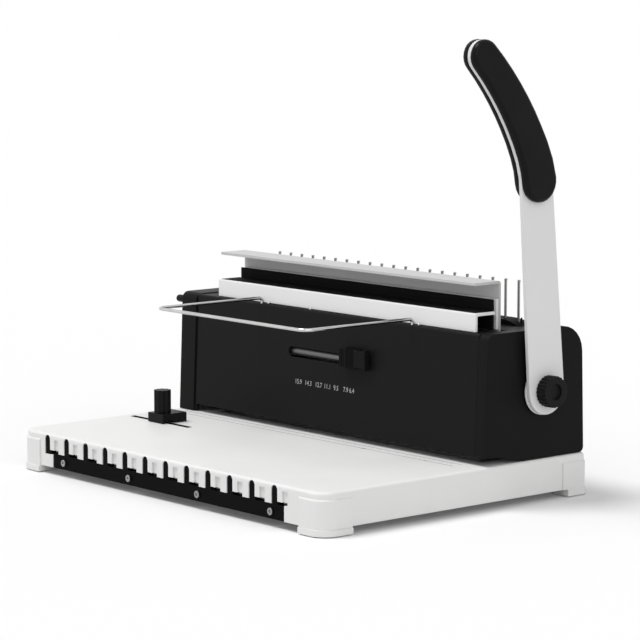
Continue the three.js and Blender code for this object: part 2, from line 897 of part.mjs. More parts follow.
// End caps
function capOutline(inset, foot, mouth) {
  const front = capFront - capFootReach + inset;
  const top = capTop - inset;
  const rear = capRear - inset;
  const corners = [
    [capFront + capFrontLean + inset, top, capFrontRadius - inset],
    [front, mouth],
  ];
  if (mouth > foot) {
    corners.push([capFront + throatMouthFlat, mouth - throatMouthSlope]);
    corners.push([capFront + throatMouthDepth, foot]);
  }
  const footRadius = inset > 0 ? 0 : capFootRadius;
  corners.push([rear, foot, footRadius]);
  corners.push([rear - capRearLean, top, capRearRadius - inset]);
  return rounded(corners);
}

// The front of the body leans back evenly from its foot to its top
function frontFace(z) {
  const share = (z - throatTop) / (capTop - throatTop);
  return capFront - capFootReach + (capFootReach + capFrontLean) * share;
}

// A shallow step between the left cap and the panel, over the whole height of the cap
function capSeam() {
  const low = frontFace(0);
  const high = frontFace(2 * capTop);
  const outline = [
    new THREE.Vector2(low - overrun, 0), new THREE.Vector2(low + seamDepth, 0),
    new THREE.Vector2(high + seamDepth, 2 * capTop), new THREE.Vector2(high - overrun, 2 * capTop),
  ];
  return alongX(outline, -overrun, seamWidth);
}

function endCap(length, mouth) {
  const foot = tableHeight + gap;
  const outer = alongX(capOutline(0, foot, mouth), 0, length);
  const inner = alongX(capOutline(capWall, foot - 2 * capFootRadius, foot - 2 * capFootRadius),
    -overrun, length - capWall);
  return cut(outer, inner);
}

function rightEndCap() {
  const inner = bodyHalfLength - rightCapDepth;
  const shell = shifted(endCap(rightCapDepth, throatTop), inner, 0, 0);
  return shell.subtract(barX(shaftRadius + 2 * slideGap, inner, bodyHalfLength + overrun, shaftY, shaftZ));
}

function leftEndCap() {
  const inner = leftCapDepth - bodyHalfLength;
  const cap = endCap(leftCapDepth, tableHeight + gap).subtract(capSeam());
  const shell = shifted(mirrored(cap), inner, 0, 0);
  return shell.subtract(barX(depthSpindleRadius + slideGap, -bodyHalfLength - overrun, inner,
    depthKnobY, depthKnobZ));
}

// Front panel with its size slot, and the rear cover with the opening of the comb opener
function panelFace(z) {
  return frontFace(z) + panelInset;
}

function frontPanel() {
  const low = panelFace(throatTop);
  const high = panelFace(panelTop);
  const rear = magnetFront - slideGap;
  const section = rounded([
    [low, throatTop], [low + panelWall, throatTop], [high + panelWall, panelUnder],
    [rear, panelUnder], [rear, panelTop], [high, panelTop, panelBendRadius],
  ]);
  const sheet = alongX(section, panelLeft, panelRight);
  const bosses = [bailLeft, bailRight].map((x) => (
    block(x - bailBossHalf, x + bailBossHalf, high + panelWall / 2, bailLegY + bailBossHalf,
      bailLegFoot - gap - bailBossFloor, panelTop - panelWall / 2)));
  const holes = [bailLeft, bailRight].map((x) => (
    barZ(bailRadius + gap, x, bailLegY, bailLegFoot - gap, panelTop + overrun)));
  const round = sizeSlotHeight * slotEndShare;
  const slotFoot = sizeLine - sizeSlotHeight / 2;
  const slotTop = sizeLine + sizeSlotHeight / 2;
  const slot = alongY(rounded([
    [sizeSlotLeft, slotFoot, round], [sizeSlotRight, slotFoot, round],
    [sizeSlotRight, slotTop, round], [sizeSlotLeft, slotTop, round],
  ]), capFront - overrun, high + panelWall + overrun);
  return cut(joined(sheet, ...bosses), ...holes, slot);
}

function rearCover() {
  const top = capTop - coverInset;
  const rear = capRear - coverInset;
  const front = jawFront + jawWall + slideGap;
  const radius = capRearRadius - coverInset;
  const inner = rear - coverWall;
  const section = rounded([
    [front, top], [front, top - coverWall],
    [inner - capRearLean, top - coverWall, radius - coverWall],
    [inner, coverFoot], [rear, coverFoot], [rear - capRearLean, top, radius],
  ]);
  const sheet = alongX(section, panelLeft, panelRight);
  const opening = block(rowShift - carrierHalfLength - slideGap, rowShift + carrierHalfLength + slideGap,
    fingerLine - carrierDepth / 2 - slideGap, fingerLine + carrierDepth / 2 + combTravel + slideGap,
    top - 2 * coverWall, top + overrun);
  return sheet.subtract(opening);
}

function panelRivet() {
  return barZ(rivetRadius, 0, 0, 0, rivetHeight, smallSides);
}

// Side frames and the bearings of the shaft
function sideFrame(side) {
  const foot = tableHeight + gap;
  const notch = tableHeight + frameNotchHeight;
  const notchRear = guideRear + frameNotchBehind;
  const earFront = depthKnobY - frameEarReach;
  const earFoot = depthKnobZ - frameEarDrop;
  const section = rounded([
    [notchRear, foot], [frameRear, foot], [frameRear, frameTop, frameRadius],
    [earFront, frameTop], [earFront, earFoot], [frameFront, earFoot],
    [frameFront, notch], [notchRear, notch],
  ]);
  const plate = alongX(section, frameInner, frameInner + frameWall);
  const flange = block(frameInner - frameFootWidth, frameInner + frameWall / 2,
    shaftY + frameFootBehind, frameRear - frameFootMargin, foot, foot + frameWall);
  const x0 = frameInner - overrun;
  const x1 = frameInner + frameWall + overrun;
  const seat = barX(bushOuterRadius + gap, x0, x1, shaftY, shaftZ);
  const pressSlot = block(x0, x1, tongueFront - gap, tongueRear + gap,
    earTop - tongueHeight - pressTravel - slideGap, earTop + slideGap);
  const combSlot = block(x0, x1, combBarFront - slideGap, combBarRear + combTravel + slideGap,
    combBarFoot - gap, combBarTop + gap);
  const frame = cut(plate.add(flange), seat, pressSlot, combSlot);
  if (side > 0) {
    return frame;
  }
  const spindle = barX(depthSpindleRadius + gap, x0, x1, depthKnobY, depthKnobZ, smallSides);
  return mirrored(frame.subtract(spindle));
}

function bearing(side) {
  const inner = frameInner;
  const outer = frameInner + frameWall + gap;
  const barrel = barX(bushOuterRadius, inner, outer + bushFlange, shaftY, shaftZ);
  const flange = barX(bushFlangeRadius, outer, outer + bushFlange, shaftY, shaftZ);
  const bore = barX(shaftRadius + gap, inner - overrun, outer + bushFlange + overrun, shaftY, shaftZ);
  const bush = barrel.add(flange).subtract(bore);
  return side > 0 ? bush : mirrored(bush);
}

// Punch guide and die, with one rectangular hole for each punch
function fingerX(index) {
  return rowShift + (index - (fingerCount - 1) / 2) * fingerPitch;
}

function punchTools(grow, z0, z1) {
  const tools = [];
  for (let index = 0; index < fingerCount; index += 1) {
    const x = fingerX(index);
    tools.push(block(x - punchWidth / 2 - grow, x + punchWidth / 2 + grow,
      punchLine - punchDepth / 2 - grow, punchLine + punchDepth / 2 + grow, z0, z1));
  }
  return tools;
}

function punchGuide() {
  const end = frameInner - gap;
  const plate = block(-end, end, guideFront, guideRear, guideFoot, guideTop);
  return cut(plate, ...punchTools(punchGap, guideFoot - overrun, guideTop + overrun));
}

function dieBlock() {
  const plate = block(dieLeft, dieRight, guideFront, guideRear, dieFoot, tableHeight);
  return cut(plate, ...punchTools(punchGap, dieFoot - overrun, tableHeight + overrun));
}

// Fixed channel of the wire closer, and the magnet bar and backing plate behind it
function lowerJaw() {
  const foot = panelTop + gap;
  const front = channelFront;
  const section = rounded([
    [front, foot], [front + channelWall, foot], [front + channelWall, channelTop - channelWall],
    [channelRear, channelTop - channelWall], [channelRear, channelTop],
    [front, channelTop, channelBendRadius],
  ]);
  return alongX(section, channelLeft, channelRight);
}

function magnetBar() {
  return block(channelLeft + magnetInset, channelRight - magnetRightInset, magnetFront,
    magnetFront + magnetThickness, panelTop + gap, magnetTop);
}

function backingPlate() {
  return block(channelLeft + backingInset, channelRight - backingRightInset, backingFront,
    backingFront + backingThickness, panelTop + gap, magnetTop + backingRise);
}

// Moving jaw, punch bar and their screws
function upperJaw() {
  const rear = jawFront + jawWall;
  const flangeFront = channelFront + jawFlangeSetback;
  const section = rounded([
    [flangeFront, jawTop - jawWall], [jawFront, jawTop - jawWall], [jawFront, jawWideFoot],
    [rear, jawWideFoot], [rear, jawTop, jawBendRadius], [flangeFront, jawTop],
  ]);
  const wide = alongX(section, channelLeft + jawLeftInset, channelRight - jawRightInset);
  const narrowHalf = rowHalf - jawNarrowInset;
  const narrow = block(rowShift - narrowHalf, rowShift + narrowHalf, jawFront, rear, pressBarFoot,
    jawWideFoot + jawWall);
  const holes = jawScrewPlaces().map((x) => (
    barY(jawScrewRadius + gap, x, jawFront - overrun, rear + overrun, pressBarMiddle)));
  return cut(wide.add(narrow), ...holes);
}

function jawScrewPlaces() {
  return [rowShift - jawScrewSpread, rowShift + jawScrewSpread];
}

function punchBar() {
  const inner = pressCamInner - slideGap;
  const outer = pressCamInner + pressCamWidth + slideGap;
  const tongueEnd = frameInner + frameWall - gap;
  const bar = block(-outer, outer, pressBarFront, pressBarRear, pressBarFoot, pressBarTop);
  const ear = block(inner, outer, pressBarFront, shaftY + pressEarReach, earTop - pressEarHeight, earTop);
  const tongue = block(outer - overrun, tongueEnd, tongueFront, tongueRear, earTop - tongueHeight,
    earTop - gap);
  const punches = punchTools(0, guideFoot + punchSet, pressBarFoot + overrun);
  const holes = jawScrewPlaces().map((x) => (
    barY(jawScrewRadius + gap, x, pressBarRear - jawScrewDepth - gap, pressBarRear + overrun,
      pressBarMiddle)));
  return cut(joined(bar, ear, mirrored(ear), tongue, mirrored(tongue), ...punches), ...holes);
}

function jawScrew() {
  const face = jawFront + jawWall + gap;
  const head = barY(jawScrewHeadRadius, 0, face, face + jawScrewHeadHeight, 0);
  return head.add(barY(jawScrewRadius, 0, pressBarRear - jawScrewDepth, face + gap, 0));
}

function returnSpring() {
  const foot = tableHeight + gap + springWire;
  const top = earTop - pressEarHeight - gap - springWire;
  const total = springCoils * coilSteps;
  const stations = Array.from({ length: total + 1 }, (_, index) => {
    const angle = 2 * Math.PI * index / coilSteps;
    const height = foot + (top - foot) * index / total;
    return new THREE.Vector3(springRadius * Math.cos(angle), springRadius * Math.sin(angle), height);
  });
  return wire(stations, springWire / 2, coilSides);
}

// Comb opener
function carrierOutline(inset) {
  const end = carrierHalfLength - inset;
  const top = carrierTop - inset;
  const points = [
    new THREE.Vector2(rowShift - end, carrierFoot), new THREE.Vector2(rowShift + end, carrierFoot),
  ];
  const shoulder = (side, step) => {
    const angle = Math.PI / 2 * step / arcSteps;
    const x = rowShift + side * (end - carrierShoulder * (1 - Math.cos(angle)));
    return new THREE.Vector2(x, top - carrierShoulderDrop * (1 - Math.sin(angle)));
  };
  for (let step = 0; step <= arcSteps; step += 1) {
    points.push(shoulder(1, step));
  }
  for (let step = arcSteps; step >= 0; step -= 1) {
    points.push(shoulder(-1, step));
  }
  return points;
}

function fingerCarrier() {
  const front = fingerLine - carrierDepth / 2;
  const rear = fingerLine + carrierDepth / 2;
  const outer = alongY(carrierOutline(0), front, rear);
  const hollow = alongY(carrierOutline(carrierWall), front + carrierWall, rear - carrierWall);
  const drop = block(rowShift - carrierHalfLength + carrierWall, rowShift + carrierHalfLength - carrierWall,
    front + carrierWall, rear - carrierWall, carrierFoot - overrun, carrierFoot + overrun);
  const slots = [];
  for (let index = 0; index < fingerCount; index += 1) {
    const x = fingerX(index);
    slots.push(block(x - fingerWidth / 2 - gap, x + fingerWidth / 2 + gap,
      fingerLine - fingerThickness / 2 - gap, fingerLine + fingerThickness / 2 + gap,
      fingerPlateTop, carrierTop + overrun));
  }
  const stub = barZ(stubRadius, rowShift + carrierHalfLength - stubInset, fingerLine,
    carrierTop - carrierShoulderDrop, carrierTop + stubHeight / 2, smallSides);
  return cut(outer, hollow, drop, ...slots).add(stub);
}

function combFingers() {
  const y0 = fingerLine - fingerThickness / 2;
  const y1 = fingerLine + fingerThickness / 2;
  const end = rowHalf + fingerPlateMargin;
  const parts = [block(rowShift - end, rowShift + end, y0, y1, carrierFoot, fingerPlateTop)];
  for (let index = 0; index < fingerCount; index += 1) {
    const x = fingerX(index);
    const x0 = x - fingerWidth / 2;
    const x1 = x + fingerWidth / 2;
    parts.push(block(x0, x1, y0, y1, fingerPlateTop - overrun, fingerTop));
    const tip = rounded([
      [y0, fingerTop - fingerHookHeight], [y1, fingerTop - fingerHookHeight],
      [y1 + fingerHook, fingerTop - fingerHookHeight / 2], [y1 + fingerHook, fingerTop],
      [y0, fingerTop],
    ]);
    parts.push(alongX(tip, x0, x1));
  }
  return joined(...parts);
}

function combSlideBar() {
  const end = frameInner + frameWall - gap;
  const bar = block(-end, end, combBarFront, combBarRear, combBarFoot, combBarTop);
  const face = shaftY + camBase + gap;
  const tail = block(combCamInner, combCamInner + combCamWidth, face, face + tailThickness,
    shaftZ - tailDrop, combBarFoot + combBarHeight / 2);
  return joined(bar, tail, mirrored(tail));
}

// Shaft and cams
function crossShaft() {
  const left = -(frameInner + frameWall + gap + 2 * bushFlange);
  const shaft = barX(shaftRadius, left, leverOuter, 0, 0);
  const stud = barX(studRadius, leverOuter - overrun, leverOuter + studLength, 0, 0, smallSides);
  return shaft.add(stud);
}

function shaftCam(side) {
  const press = camOutline(pressLead, leverTurn, camBase);
  const comb = quarterTurned(camOutline(combLead, leverTurn, camBase));
  const end = combCamInner + combCamWidth;
  const pressCam = alongX(press, pressCamInner, pressCamInner + pressCamWidth);
  const collar = barX(camBase, pressCamInner, end, 0, 0);
  const combCam = alongX(comb, combCamInner, end);
  const bore = barX(shaftRadius + gap, pressCamInner - overrun, end + overrun, 0, 0);
  const cam = joined(pressCam, collar, combCam).subtract(bore);
  return side > 0 ? cam : mirrored(cam);
}

// Lever: a straight arm from the pivot, a tight bend and a wide bend towards the front
const leverRuns = [
  [leverStraight, 0], [leverElbowLength, leverElbowAngle], [leverTipLength, leverTipAngle],
];

function leverSpine(along) {
  const place = new THREE.Vector2();
  let angle = THREE.MathUtils.degToRad(leverLeanAngle);
  let rest = along;
  leverRuns.forEach(([length, turn]) => {
    const run = THREE.MathUtils.clamp(rest, 0, length);
    const half = THREE.MathUtils.degToRad(turn) * run / length / 2;
    const chord = half === 0 ? run : run * Math.sin(half) / half;
    const way = new THREE.Vector2(-Math.sin(angle + half), Math.cos(angle + half));
    place.addScaledVector(way, chord);
    angle += 2 * half;
    rest -= length;
  });
  return { place, angle };
}

function leverHalfWidth(along) {
  const waist = leverStraight + leverBendLength * gripWaistShare;
  const stations = [
    [0, leverPivotRadius], [leverStraight, leverNeckRadius], [waist, leverGripRadius],
    [leverLength, leverEndRadius],
  ];
  const reach = THREE.MathUtils.clamp(along, 0, leverLength);
  const next = Math.max(1, stations.findIndex(([place]) => place >= reach));
  const [place0, width0] = stations[next - 1];
  const [place1, width1] = stations[next];
  return width0 + (width1 - width0) * (reach - place0) / (place1 - place0);
}

// The outline between two places on the spine, round at both ends
function leverOutline(from, to, width, steps) {
  const sidePoint = (along, side) => {
    const { place, angle } = leverSpine(along);
    const across = new THREE.Vector2(Math.cos(angle), Math.sin(angle));
    return place.clone().addScaledVector(across, side * width(along));
  };
  const endArc = (along, first) => {
    const { place, angle } = leverSpine(along);
    const points = [];
    for (let step = 1; step < 2 * arcSteps; step += 1) {
      const turn = angle + first + Math.PI * step / (2 * arcSteps);
      const outwards = new THREE.Vector2(Math.cos(turn), Math.sin(turn));
      points.push(place.clone().addScaledVector(outwards, width(along)));
    }
    return points;
  };
  const places = Array.from({ length: steps + 1 }, (_, index) => from + (to - from) * index / steps);
  const rear = places.map((along) => sidePoint(along, 1));
  const front = places.map((along) => sidePoint(along, -1)).reverse();
  return [...rear, ...endArc(to, 0), ...front, ...endArc(from, Math.PI)];
}

function leverArm() {
  const outline = leverOutline(0, leverLength, leverHalfWidth, 2 * leverSteps);
  const plate = alongX(outline, leverInner, leverOuter);
  const bore = barX(shaftRadius + gap, leverInner - overrun, leverOuter + overrun, 0, 0);
  return plate.subtract(bore);
}

function leverHub() {
  const x1 = leverInner - gap;
  const ring = barX(hubRadius, x1 - hubThickness, x1, 0, 0, knobSides);
  return ring.subtract(barX(shaftRadius + gap, x1 - hubThickness - overrun, x1 + overrun, 0, 0));
}

// One half of the grip: a slab with round edges, cut flat where it meets the arm
function gripShell(side) {
  const width = (along) => leverHalfWidth(along) + gripProud;
  const from = gripFoot + leverNeckRadius;
  const outline = leverOutline(from, leverLength, width, leverSteps);
  const geometry = pushed(outline, 2 * (gripThickness - gripEdge), softEdge(gripEdge));
  geometry.translate(0, 0, gripEdge - gripThickness);
  geometry.applyMatrix4(new THREE.Matrix4().makeBasis(
    new THREE.Vector3(0, 1, 0), new THREE.Vector3(0, 0, 1), new THREE.Vector3(1, 0, 0)));
  const slab = solidOf(geometry);
  const far = leverLength + leverPivotRadius;
  const away = side > 0 ? -2 * gripThickness : 0;
  const shell = slab.subtract(block(away, away + 2 * gripThickness, -far, far, 0, 2 * far));
  return shifted(shell, side > 0 ? leverOuter + gap : leverInner - gap, 0, 0);
}

function pivotKnob() {
  const x0 = leverOuter + gap;
  const outline = flutedOutline(pivotKnobRadius, pivotKnurlCount, pivotKnurlDepth, pivotKnurlPoints);
  const body = alongX(outline, x0, x0 + pivotKnobLength);
  const bore = barX(studRadius + gap, x0 - overrun, leverOuter + studLength + gap, 0, 0, smallSides);
  const dish = barX(pivotDishRadius, x0 + pivotKnobLength - pivotDishDepth,
    x0 + pivotKnobLength + overrun, 0, 0);
  return cut(body, bore, dish);
}

// Depth knob at the left, its spindle with a small cam, and the stop that it moves
function depthKnob() {
  const x1 = -bodyHalfLength - slideGap;
  const x0 = x1 - depthKnobLength;
  const dome = depthKnobRadius;
  const profile = [[0, x0]];
  for (let step = 1; step <= arcSteps; step += 1) {
    const angle = Math.PI / 2 * step / arcSteps;
    profile.push([dome * Math.sin(angle), x0 + dome * (1 - Math.cos(angle))]);
  }
  profile.push([dome, x1], [0, x1]);
  const bore = barX(depthSpindleRadius + gap, x1 - dome, x1 + overrun, depthKnobY, depthKnobZ, smallSides);
  return turnedX(profile, depthKnobY, depthKnobZ, shaftSides).subtract(bore);
}

function depthSpindle() {
  const x0 = -bodyHalfLength - slideGap - depthKnobRadius + gap;
  const bar = barX(depthSpindleRadius, x0, -frameInner, 0, 0, smallSides);
  const outline = quarterTurned(camOutline(depthLead, depthTurn, depthCamBase));
  const camLeft = depthLinkX + (depthLinkThickness - depthCamWidth) / 2;
  return bar.add(alongX(outline, camLeft, camLeft + depthCamWidth));
}

function depthStop() {
  const right = rowShift + rowHalf;
  const foot = tableHeight + gap;
  const top = foot + depthStopHeight;
  const bar = block(depthLinkX, right, depthStopFront, depthStopFront + depthStopThickness, foot, top);
  const face = depthKnobY + depthCamBase + gap;
  const x1 = depthLinkX + depthLinkThickness;
  const arm = block(depthLinkX, x1, face, depthStopFront + depthStopThickness, foot, top);
  const link = block(depthLinkX, x1, face, face + depthLinkWidth, foot, depthKnobZ + depthCamBase);
  return joined(bar, arm, link);
}

// Size slider: rod, brackets, carriage and knob
const sizeRodY = panelFace(sizeLine) + panelWall + sizeRodSetback + sizeRodRadius;

function sizeRod() {
  return barX(sizeRodRadius, sizeRodLeft, sizeRodRight, sizeRodY, sizeLine);
}

function rodBracket(x0) {
  const side = sizeRodRadius + gap + sizeBlockWall;
  const front = panelFace(sizeLine + side) + panelWall + gap;
  const box = block(x0, x0 + rodBracketLength, front, sizeRodY + side, sizeLine - side, sizeLine + side);
  return box.subtract(barX(sizeRodRadius + gap, x0 - overrun, x0 + rodBracketLength + overrun,
    sizeRodY, sizeLine));
}

function sizeCarriage() {
  const side = sizeRodRadius + gap + sizeBlockWall;
  const x = sizeKnobPointer;
  const front = panelFace(sizeLine + side) + panelWall + slideGap;
  const box = block(x - sizeBlockLength / 2, x + sizeBlockLength / 2, front, sizeRodY + side,
    sizeLine - side, sizeLine + side);
  const rise = sizeSlotHeight / 2 - slideGap;
  const neck = block(x - sizeNeckLength / 2, x + sizeNeckLength / 2,
    sizeKnobRear + gap, front + sizeBlockWall / 2, sizeLine - rise, sizeLine + rise);
  return box.add(neck).subtract(barX(sizeRodRadius + gap, x - sizeBlockLength, x + sizeBlockLength,
    sizeRodY, sizeLine));
}

// A flat knob shaped like a spool: ribbed end, block with the pointer, waist and end flange
function sizeKnob() {
  const blockLeft = sizeKnobLeft + sizeGripLength;
  const blockRight = blockLeft + sizeDiscLength;
  const endLeft = blockRight + sizeWaistLength;
  const lower = [
    [sizeKnobLeft, sizeGripHalf], [blockLeft, sizeGripHalf], [blockLeft, sizeDiscHalf],
    [blockRight, sizeDiscHalf], [blockRight + sizeWaistRun, sizeWaistHalf, sizeWaistRadius],
    [endLeft - sizeWaistRun, sizeWaistHalf, sizeWaistRadius], [endLeft, sizeEndHalf],
    [endLeft + sizeEndLength, sizeEndHalf],
  ];
  const upper = lower.map(([x, half, radius]) => [x, sizeKnobLine + half, radius]).reverse();
  const under = lower.map(([x, half, radius]) => [x, sizeKnobLine - half, radius]);
  const outline = rounded([...under, ...upper]);
  const geometry = pushed(outline, sizeKnobThickness - 2 * sizeKnobEdge, softEdge(sizeKnobEdge));
  geometry.rotateX(Math.PI / 2);
  geometry.translate(0, sizeKnobRear - sizeKnobEdge, 0);
  const face = sizeKnobRear - sizeKnobThickness;
  const ribs = Array.from({ length: sizeRibCount }, (_, index) => {
    const x = sizeKnobLeft + sizeGripLength * (index + 1) / (sizeRibCount + 1);
    return block(x - sizeRibWidth / 2, x + sizeRibWidth / 2, face - overrun, face + sizeRibDepth,
      sizeKnobLine - 2 * sizeGripHalf, sizeKnobLine + 2 * sizeGripHalf);
  });
  return cut(solidOf(geometry), ...ribs);
}

// Paper guide with its clamping knob and the nut below the table
function paperGuide() {
  const foot = tableHeight + gap;
  const body = block(-guideBlockWidth / 2, guideBlockWidth / 2, -guideBlockAhead, guideBlockBehind,
    foot, foot + guideBlockHeight);
  const hole = barZ(guideStemRadius + gap, 0, 0, foot - overrun, foot + guideBlockHeight + overrun);
  const arch = barX(guideArchRadius, -guideBlockWidth, guideBlockWidth, 0,
    foot + guideArchHeight - guideArchRadius);
  return cut(body, hole, arch);
}

function guideKnob() {
  const foot = tableHeight + guideBlockHeight + 2 * gap;
  const outline = flutedOutline(guideKnobRadius, guideFluteCount, guideFluteDepth, flutePoints);
  const body = alongZ(outline, foot, foot + guideKnobHeight);
  const end = tableUnder - gap - guideNutThickness;
  return body.add(barZ(guideStemRadius, 0, 0, end, foot + gap));
}

function guideNut() {
  const top = tableUnder - gap;
  const plate = block(-guideNutLength / 2, guideNutLength / 2, -guideNutWidth / 2, guideNutWidth / 2,
    top - guideNutThickness, top);
  return plate.subtract(barZ(guideStemRadius + gap, 0, 0, top - guideNutThickness - overrun, top + overrun));
}

// Wire rest: one bent wire with two legs
function roundBend(before, corner, after, radius) {
  const toBefore = before.clone().sub(corner).normalize();
  const toAfter = after.clone().sub(corner).normalize();
  const centre = corner.clone().addScaledVector(toBefore, radius).addScaledVector(toAfter, radius);
  return Array.from({ length: arcSteps + 1 }, (_, step) => {
    const angle = Math.PI / 2 * step / arcSteps;
    return centre.clone()
      .addScaledVector(toAfter, -radius * Math.cos(angle))
      .addScaledVector(toBefore, -radius * Math.sin(angle));
  });
}

function wireRest() {
  const front = bailLegY - bailReach;
  const corners = [
    [bailLeft, bailLegY, bailLegFoot, 0], [bailLeft, bailLegY, bailHeight, bailBend],
    [bailLeft, front, bailHeight, bailCorner], [bailRight, front, bailHeight, bailCorner],
    [bailRight, bailLegY, bailHeight, bailBend], [bailRight, bailLegY, bailLegFoot, 0],
  ];
  const places = corners.map(([x, y, z]) => new THREE.Vector3(x, y, z));
  const stations = [];
  corners.forEach(([, , , radius], index) => {
    if (radius === 0) {
      stations.push(places[index]);
      return;
    }
    stations.push(...roundBend(places[index - 1], places[index], places[index + 1], radius));
  });
  return wire(stations, bailRadius, wireSides);
}

// Chip tray
function chipTray() {
  const foot = wallLift + railLedgeThickness + gap;
  const rear = baseDepth;
  const outer = block(trayLeft, trayRight, trayFront, rear, foot, trayTop);
  const inner = block(trayLeft + trayWall, trayRight - trayWall, trayFront + trayWall,
    rear - trayFaceWall, foot + trayWall, trayTop + overrun);
  const middle = (trayLeft + trayRight) / 2;
  const grip = block(middle - trayGripWidth / 2, middle + trayGripWidth / 2, rear - trayFaceWall - overrun,
    rear + overrun, trayTop - trayGripHeight, trayTop + overrun);
  return cut(outer, inner, grip);
}

// Scene graph: one group for each body that moves as one
function node(name, solid, material) {
  const mesh = new THREE.Mesh(geometryOf(solid), material);
  mesh.name = name;
  return mesh;
}

function placed(mesh, x, y, z) {
  mesh.position.set(x, y, z);
  return mesh;
}

function bodyGroup() {
  const group = new THREE.Group();
  group.add(node('base_tray', baseTray(), whitePlastic));
  padPlaces().forEach(([name, x, y]) => group.add(placed(node(name, rubberFoot(), darkRubber), x, y, 0)));
  group.add(node('front_strip', frontStrip(), blackSteel));
  for (let index = 0; index < stripScrewCount; index += 1) {
    const screw = node(`strip_screw_${index + 1}`, stripScrew(), brightSteel);
    group.add(placed(screw, stripScrewX(index), 0, stripScrewHeight));
  }
  group.add(node('left_end_cap', leftEndCap(), blackPlastic));
  group.add(node('right_end_cap', rightEndCap(), blackPlastic));
  group.add(node('front_panel', frontPanel(), blackSteel));
  group.add(node('rear_cover', rearCover(), blackSteel));
  rivetPlaces.forEach((x, index) => {
    const rivet = node(`panel_rivet_${index + 1}`, panelRivet(), brightSteel);
    group.add(placed(rivet, x, channelFront - rivetAhead, panelTop + gap));
  });
  group.add(node('left_side_frame', sideFrame(-1), greySteel));
  group.add(node('right_side_frame', sideFrame(1), greySteel));
  group.add(node('left_bearing', bearing(-1), darkRubber));
  group.add(node('right_bearing', bearing(1), darkRubber));
  group.add(node('punch_guide', punchGuide(), greySteel));
  group.add(node('die_block', dieBlock(), greySteel));
  group.add(node('lower_jaw', lowerJaw(), whiteSteel));
  group.add(node('size_rod', sizeRod(), brightSteel));
  group.add(node('rod_bracket_left', rodBracket(sizeRodLeft), blackPlastic));
  group.add(node('rod_bracket_right', rodBracket(sizeRodRight - rodBracketLength), blackPlastic));
  group.add(placed(node('left_return_spring', returnSpring(), brightSteel), -springX, springY, 0));
  group.add(placed(node('right_return_spring', returnSpring(), brightSteel), springX, springY, 0));
  return group;
}

function pressGroup() {
  const group = new THREE.Group();
  group.add(node('punch_bar', punchBar(), greySteel));
  group.add(node('upper_jaw', upperJaw(), whiteSteel));
  group.add(node('magnet_bar', magnetBar(), darkRubber));
  group.add(node('backing_plate', backingPlate(), whiteSteel));
  jawScrewPlaces().forEach((x, index) => {
    group.add(placed(node(`jaw_screw_${index + 1}`, jawScrew(), brightSteel), x, 0, pressBarMiddle));
  });
  return group;
}

function combGroup() {
  const group = new THREE.Group();
  group.add(node('comb_slide_bar', combSlideBar(), greySteel));
  group.add(node('finger_carrier', fingerCarrier(), blackPlastic));
  group.add(node('comb_fingers', combFingers(), brightSteel));
  return group;
}

function leverGroup() {
  const group = new THREE.Group();
  group.position.set(0, shaftY, shaftZ);
  group.add(node('cross_shaft', crossShaft(), greySteel));
  group.add(node('left_cam', shaftCam(-1), greySteel));
  group.add(node('right_cam', shaftCam(1), greySteel));
  group.add(node('lever_hub', leverHub(), whitePlastic));
  group.add(node('lever_arm', leverArm(), whiteSteel));
  group.add(node('grip_outer', gripShell(1), darkRubber));
  group.add(node('grip_inner', gripShell(-1), darkRubber));
  group.add(node('pivot_knob', pivotKnob(), blackPlastic));
  return group;
}

function settingsGroup() {
  const group = new THREE.Group();
  group.add(node('depth_knob', depthKnob(), blackPlastic));
  group.add(placed(node('depth_spindle', depthSpindle(), brightSteel), 0, depthKnobY, depthKnobZ));
  group.add(node('depth_stop', depthStop(), greySteel));
  group.add(node('size_carriage', sizeCarriage(), blackPlastic));
  group.add(node('size_knob', sizeKnob(), blackPlastic));
  return group;
}

function tableGroup() {
  const group = new THREE.Group();
  group.add(placed(node('paper_guide', paperGuide(), blackPlastic), guideX, guideSlotY, 0));
  group.add(placed(node('guide_nut', guideNut(), brightSteel), guideX, guideSlotY, 0));
  group.add(placed(node('guide_knob', guideKnob(), blackPlastic), guideX, guideSlotY, 0));
  group.add(node('wire_rest', wireRest(), chrome));
  group.add(node('chip_tray', chipTray(), whitePlastic));
  return group;
}

// The origin is the middle of the footprint, on the surface that the machine stands on
const machine = new THREE.Group();
machine.add(bodyGroup(), pressGroup(), combGroup(), leverGroup(), settingsGroup(), tableGroup());
const left = -bodyHalfLength - slideGap - depthKnobLength;
const right = leverOuter + gap + pivotKnobLength;
machine.position.set(-(left + right) / 2, -baseDepth / 2, 0);

export default machine;
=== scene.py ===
"""Looks of the comb and wire binding machine: finishes, fine shapes, light and camera."""

import json
import math

import bmesh
import bpy
from mathutils import Matrix, Vector

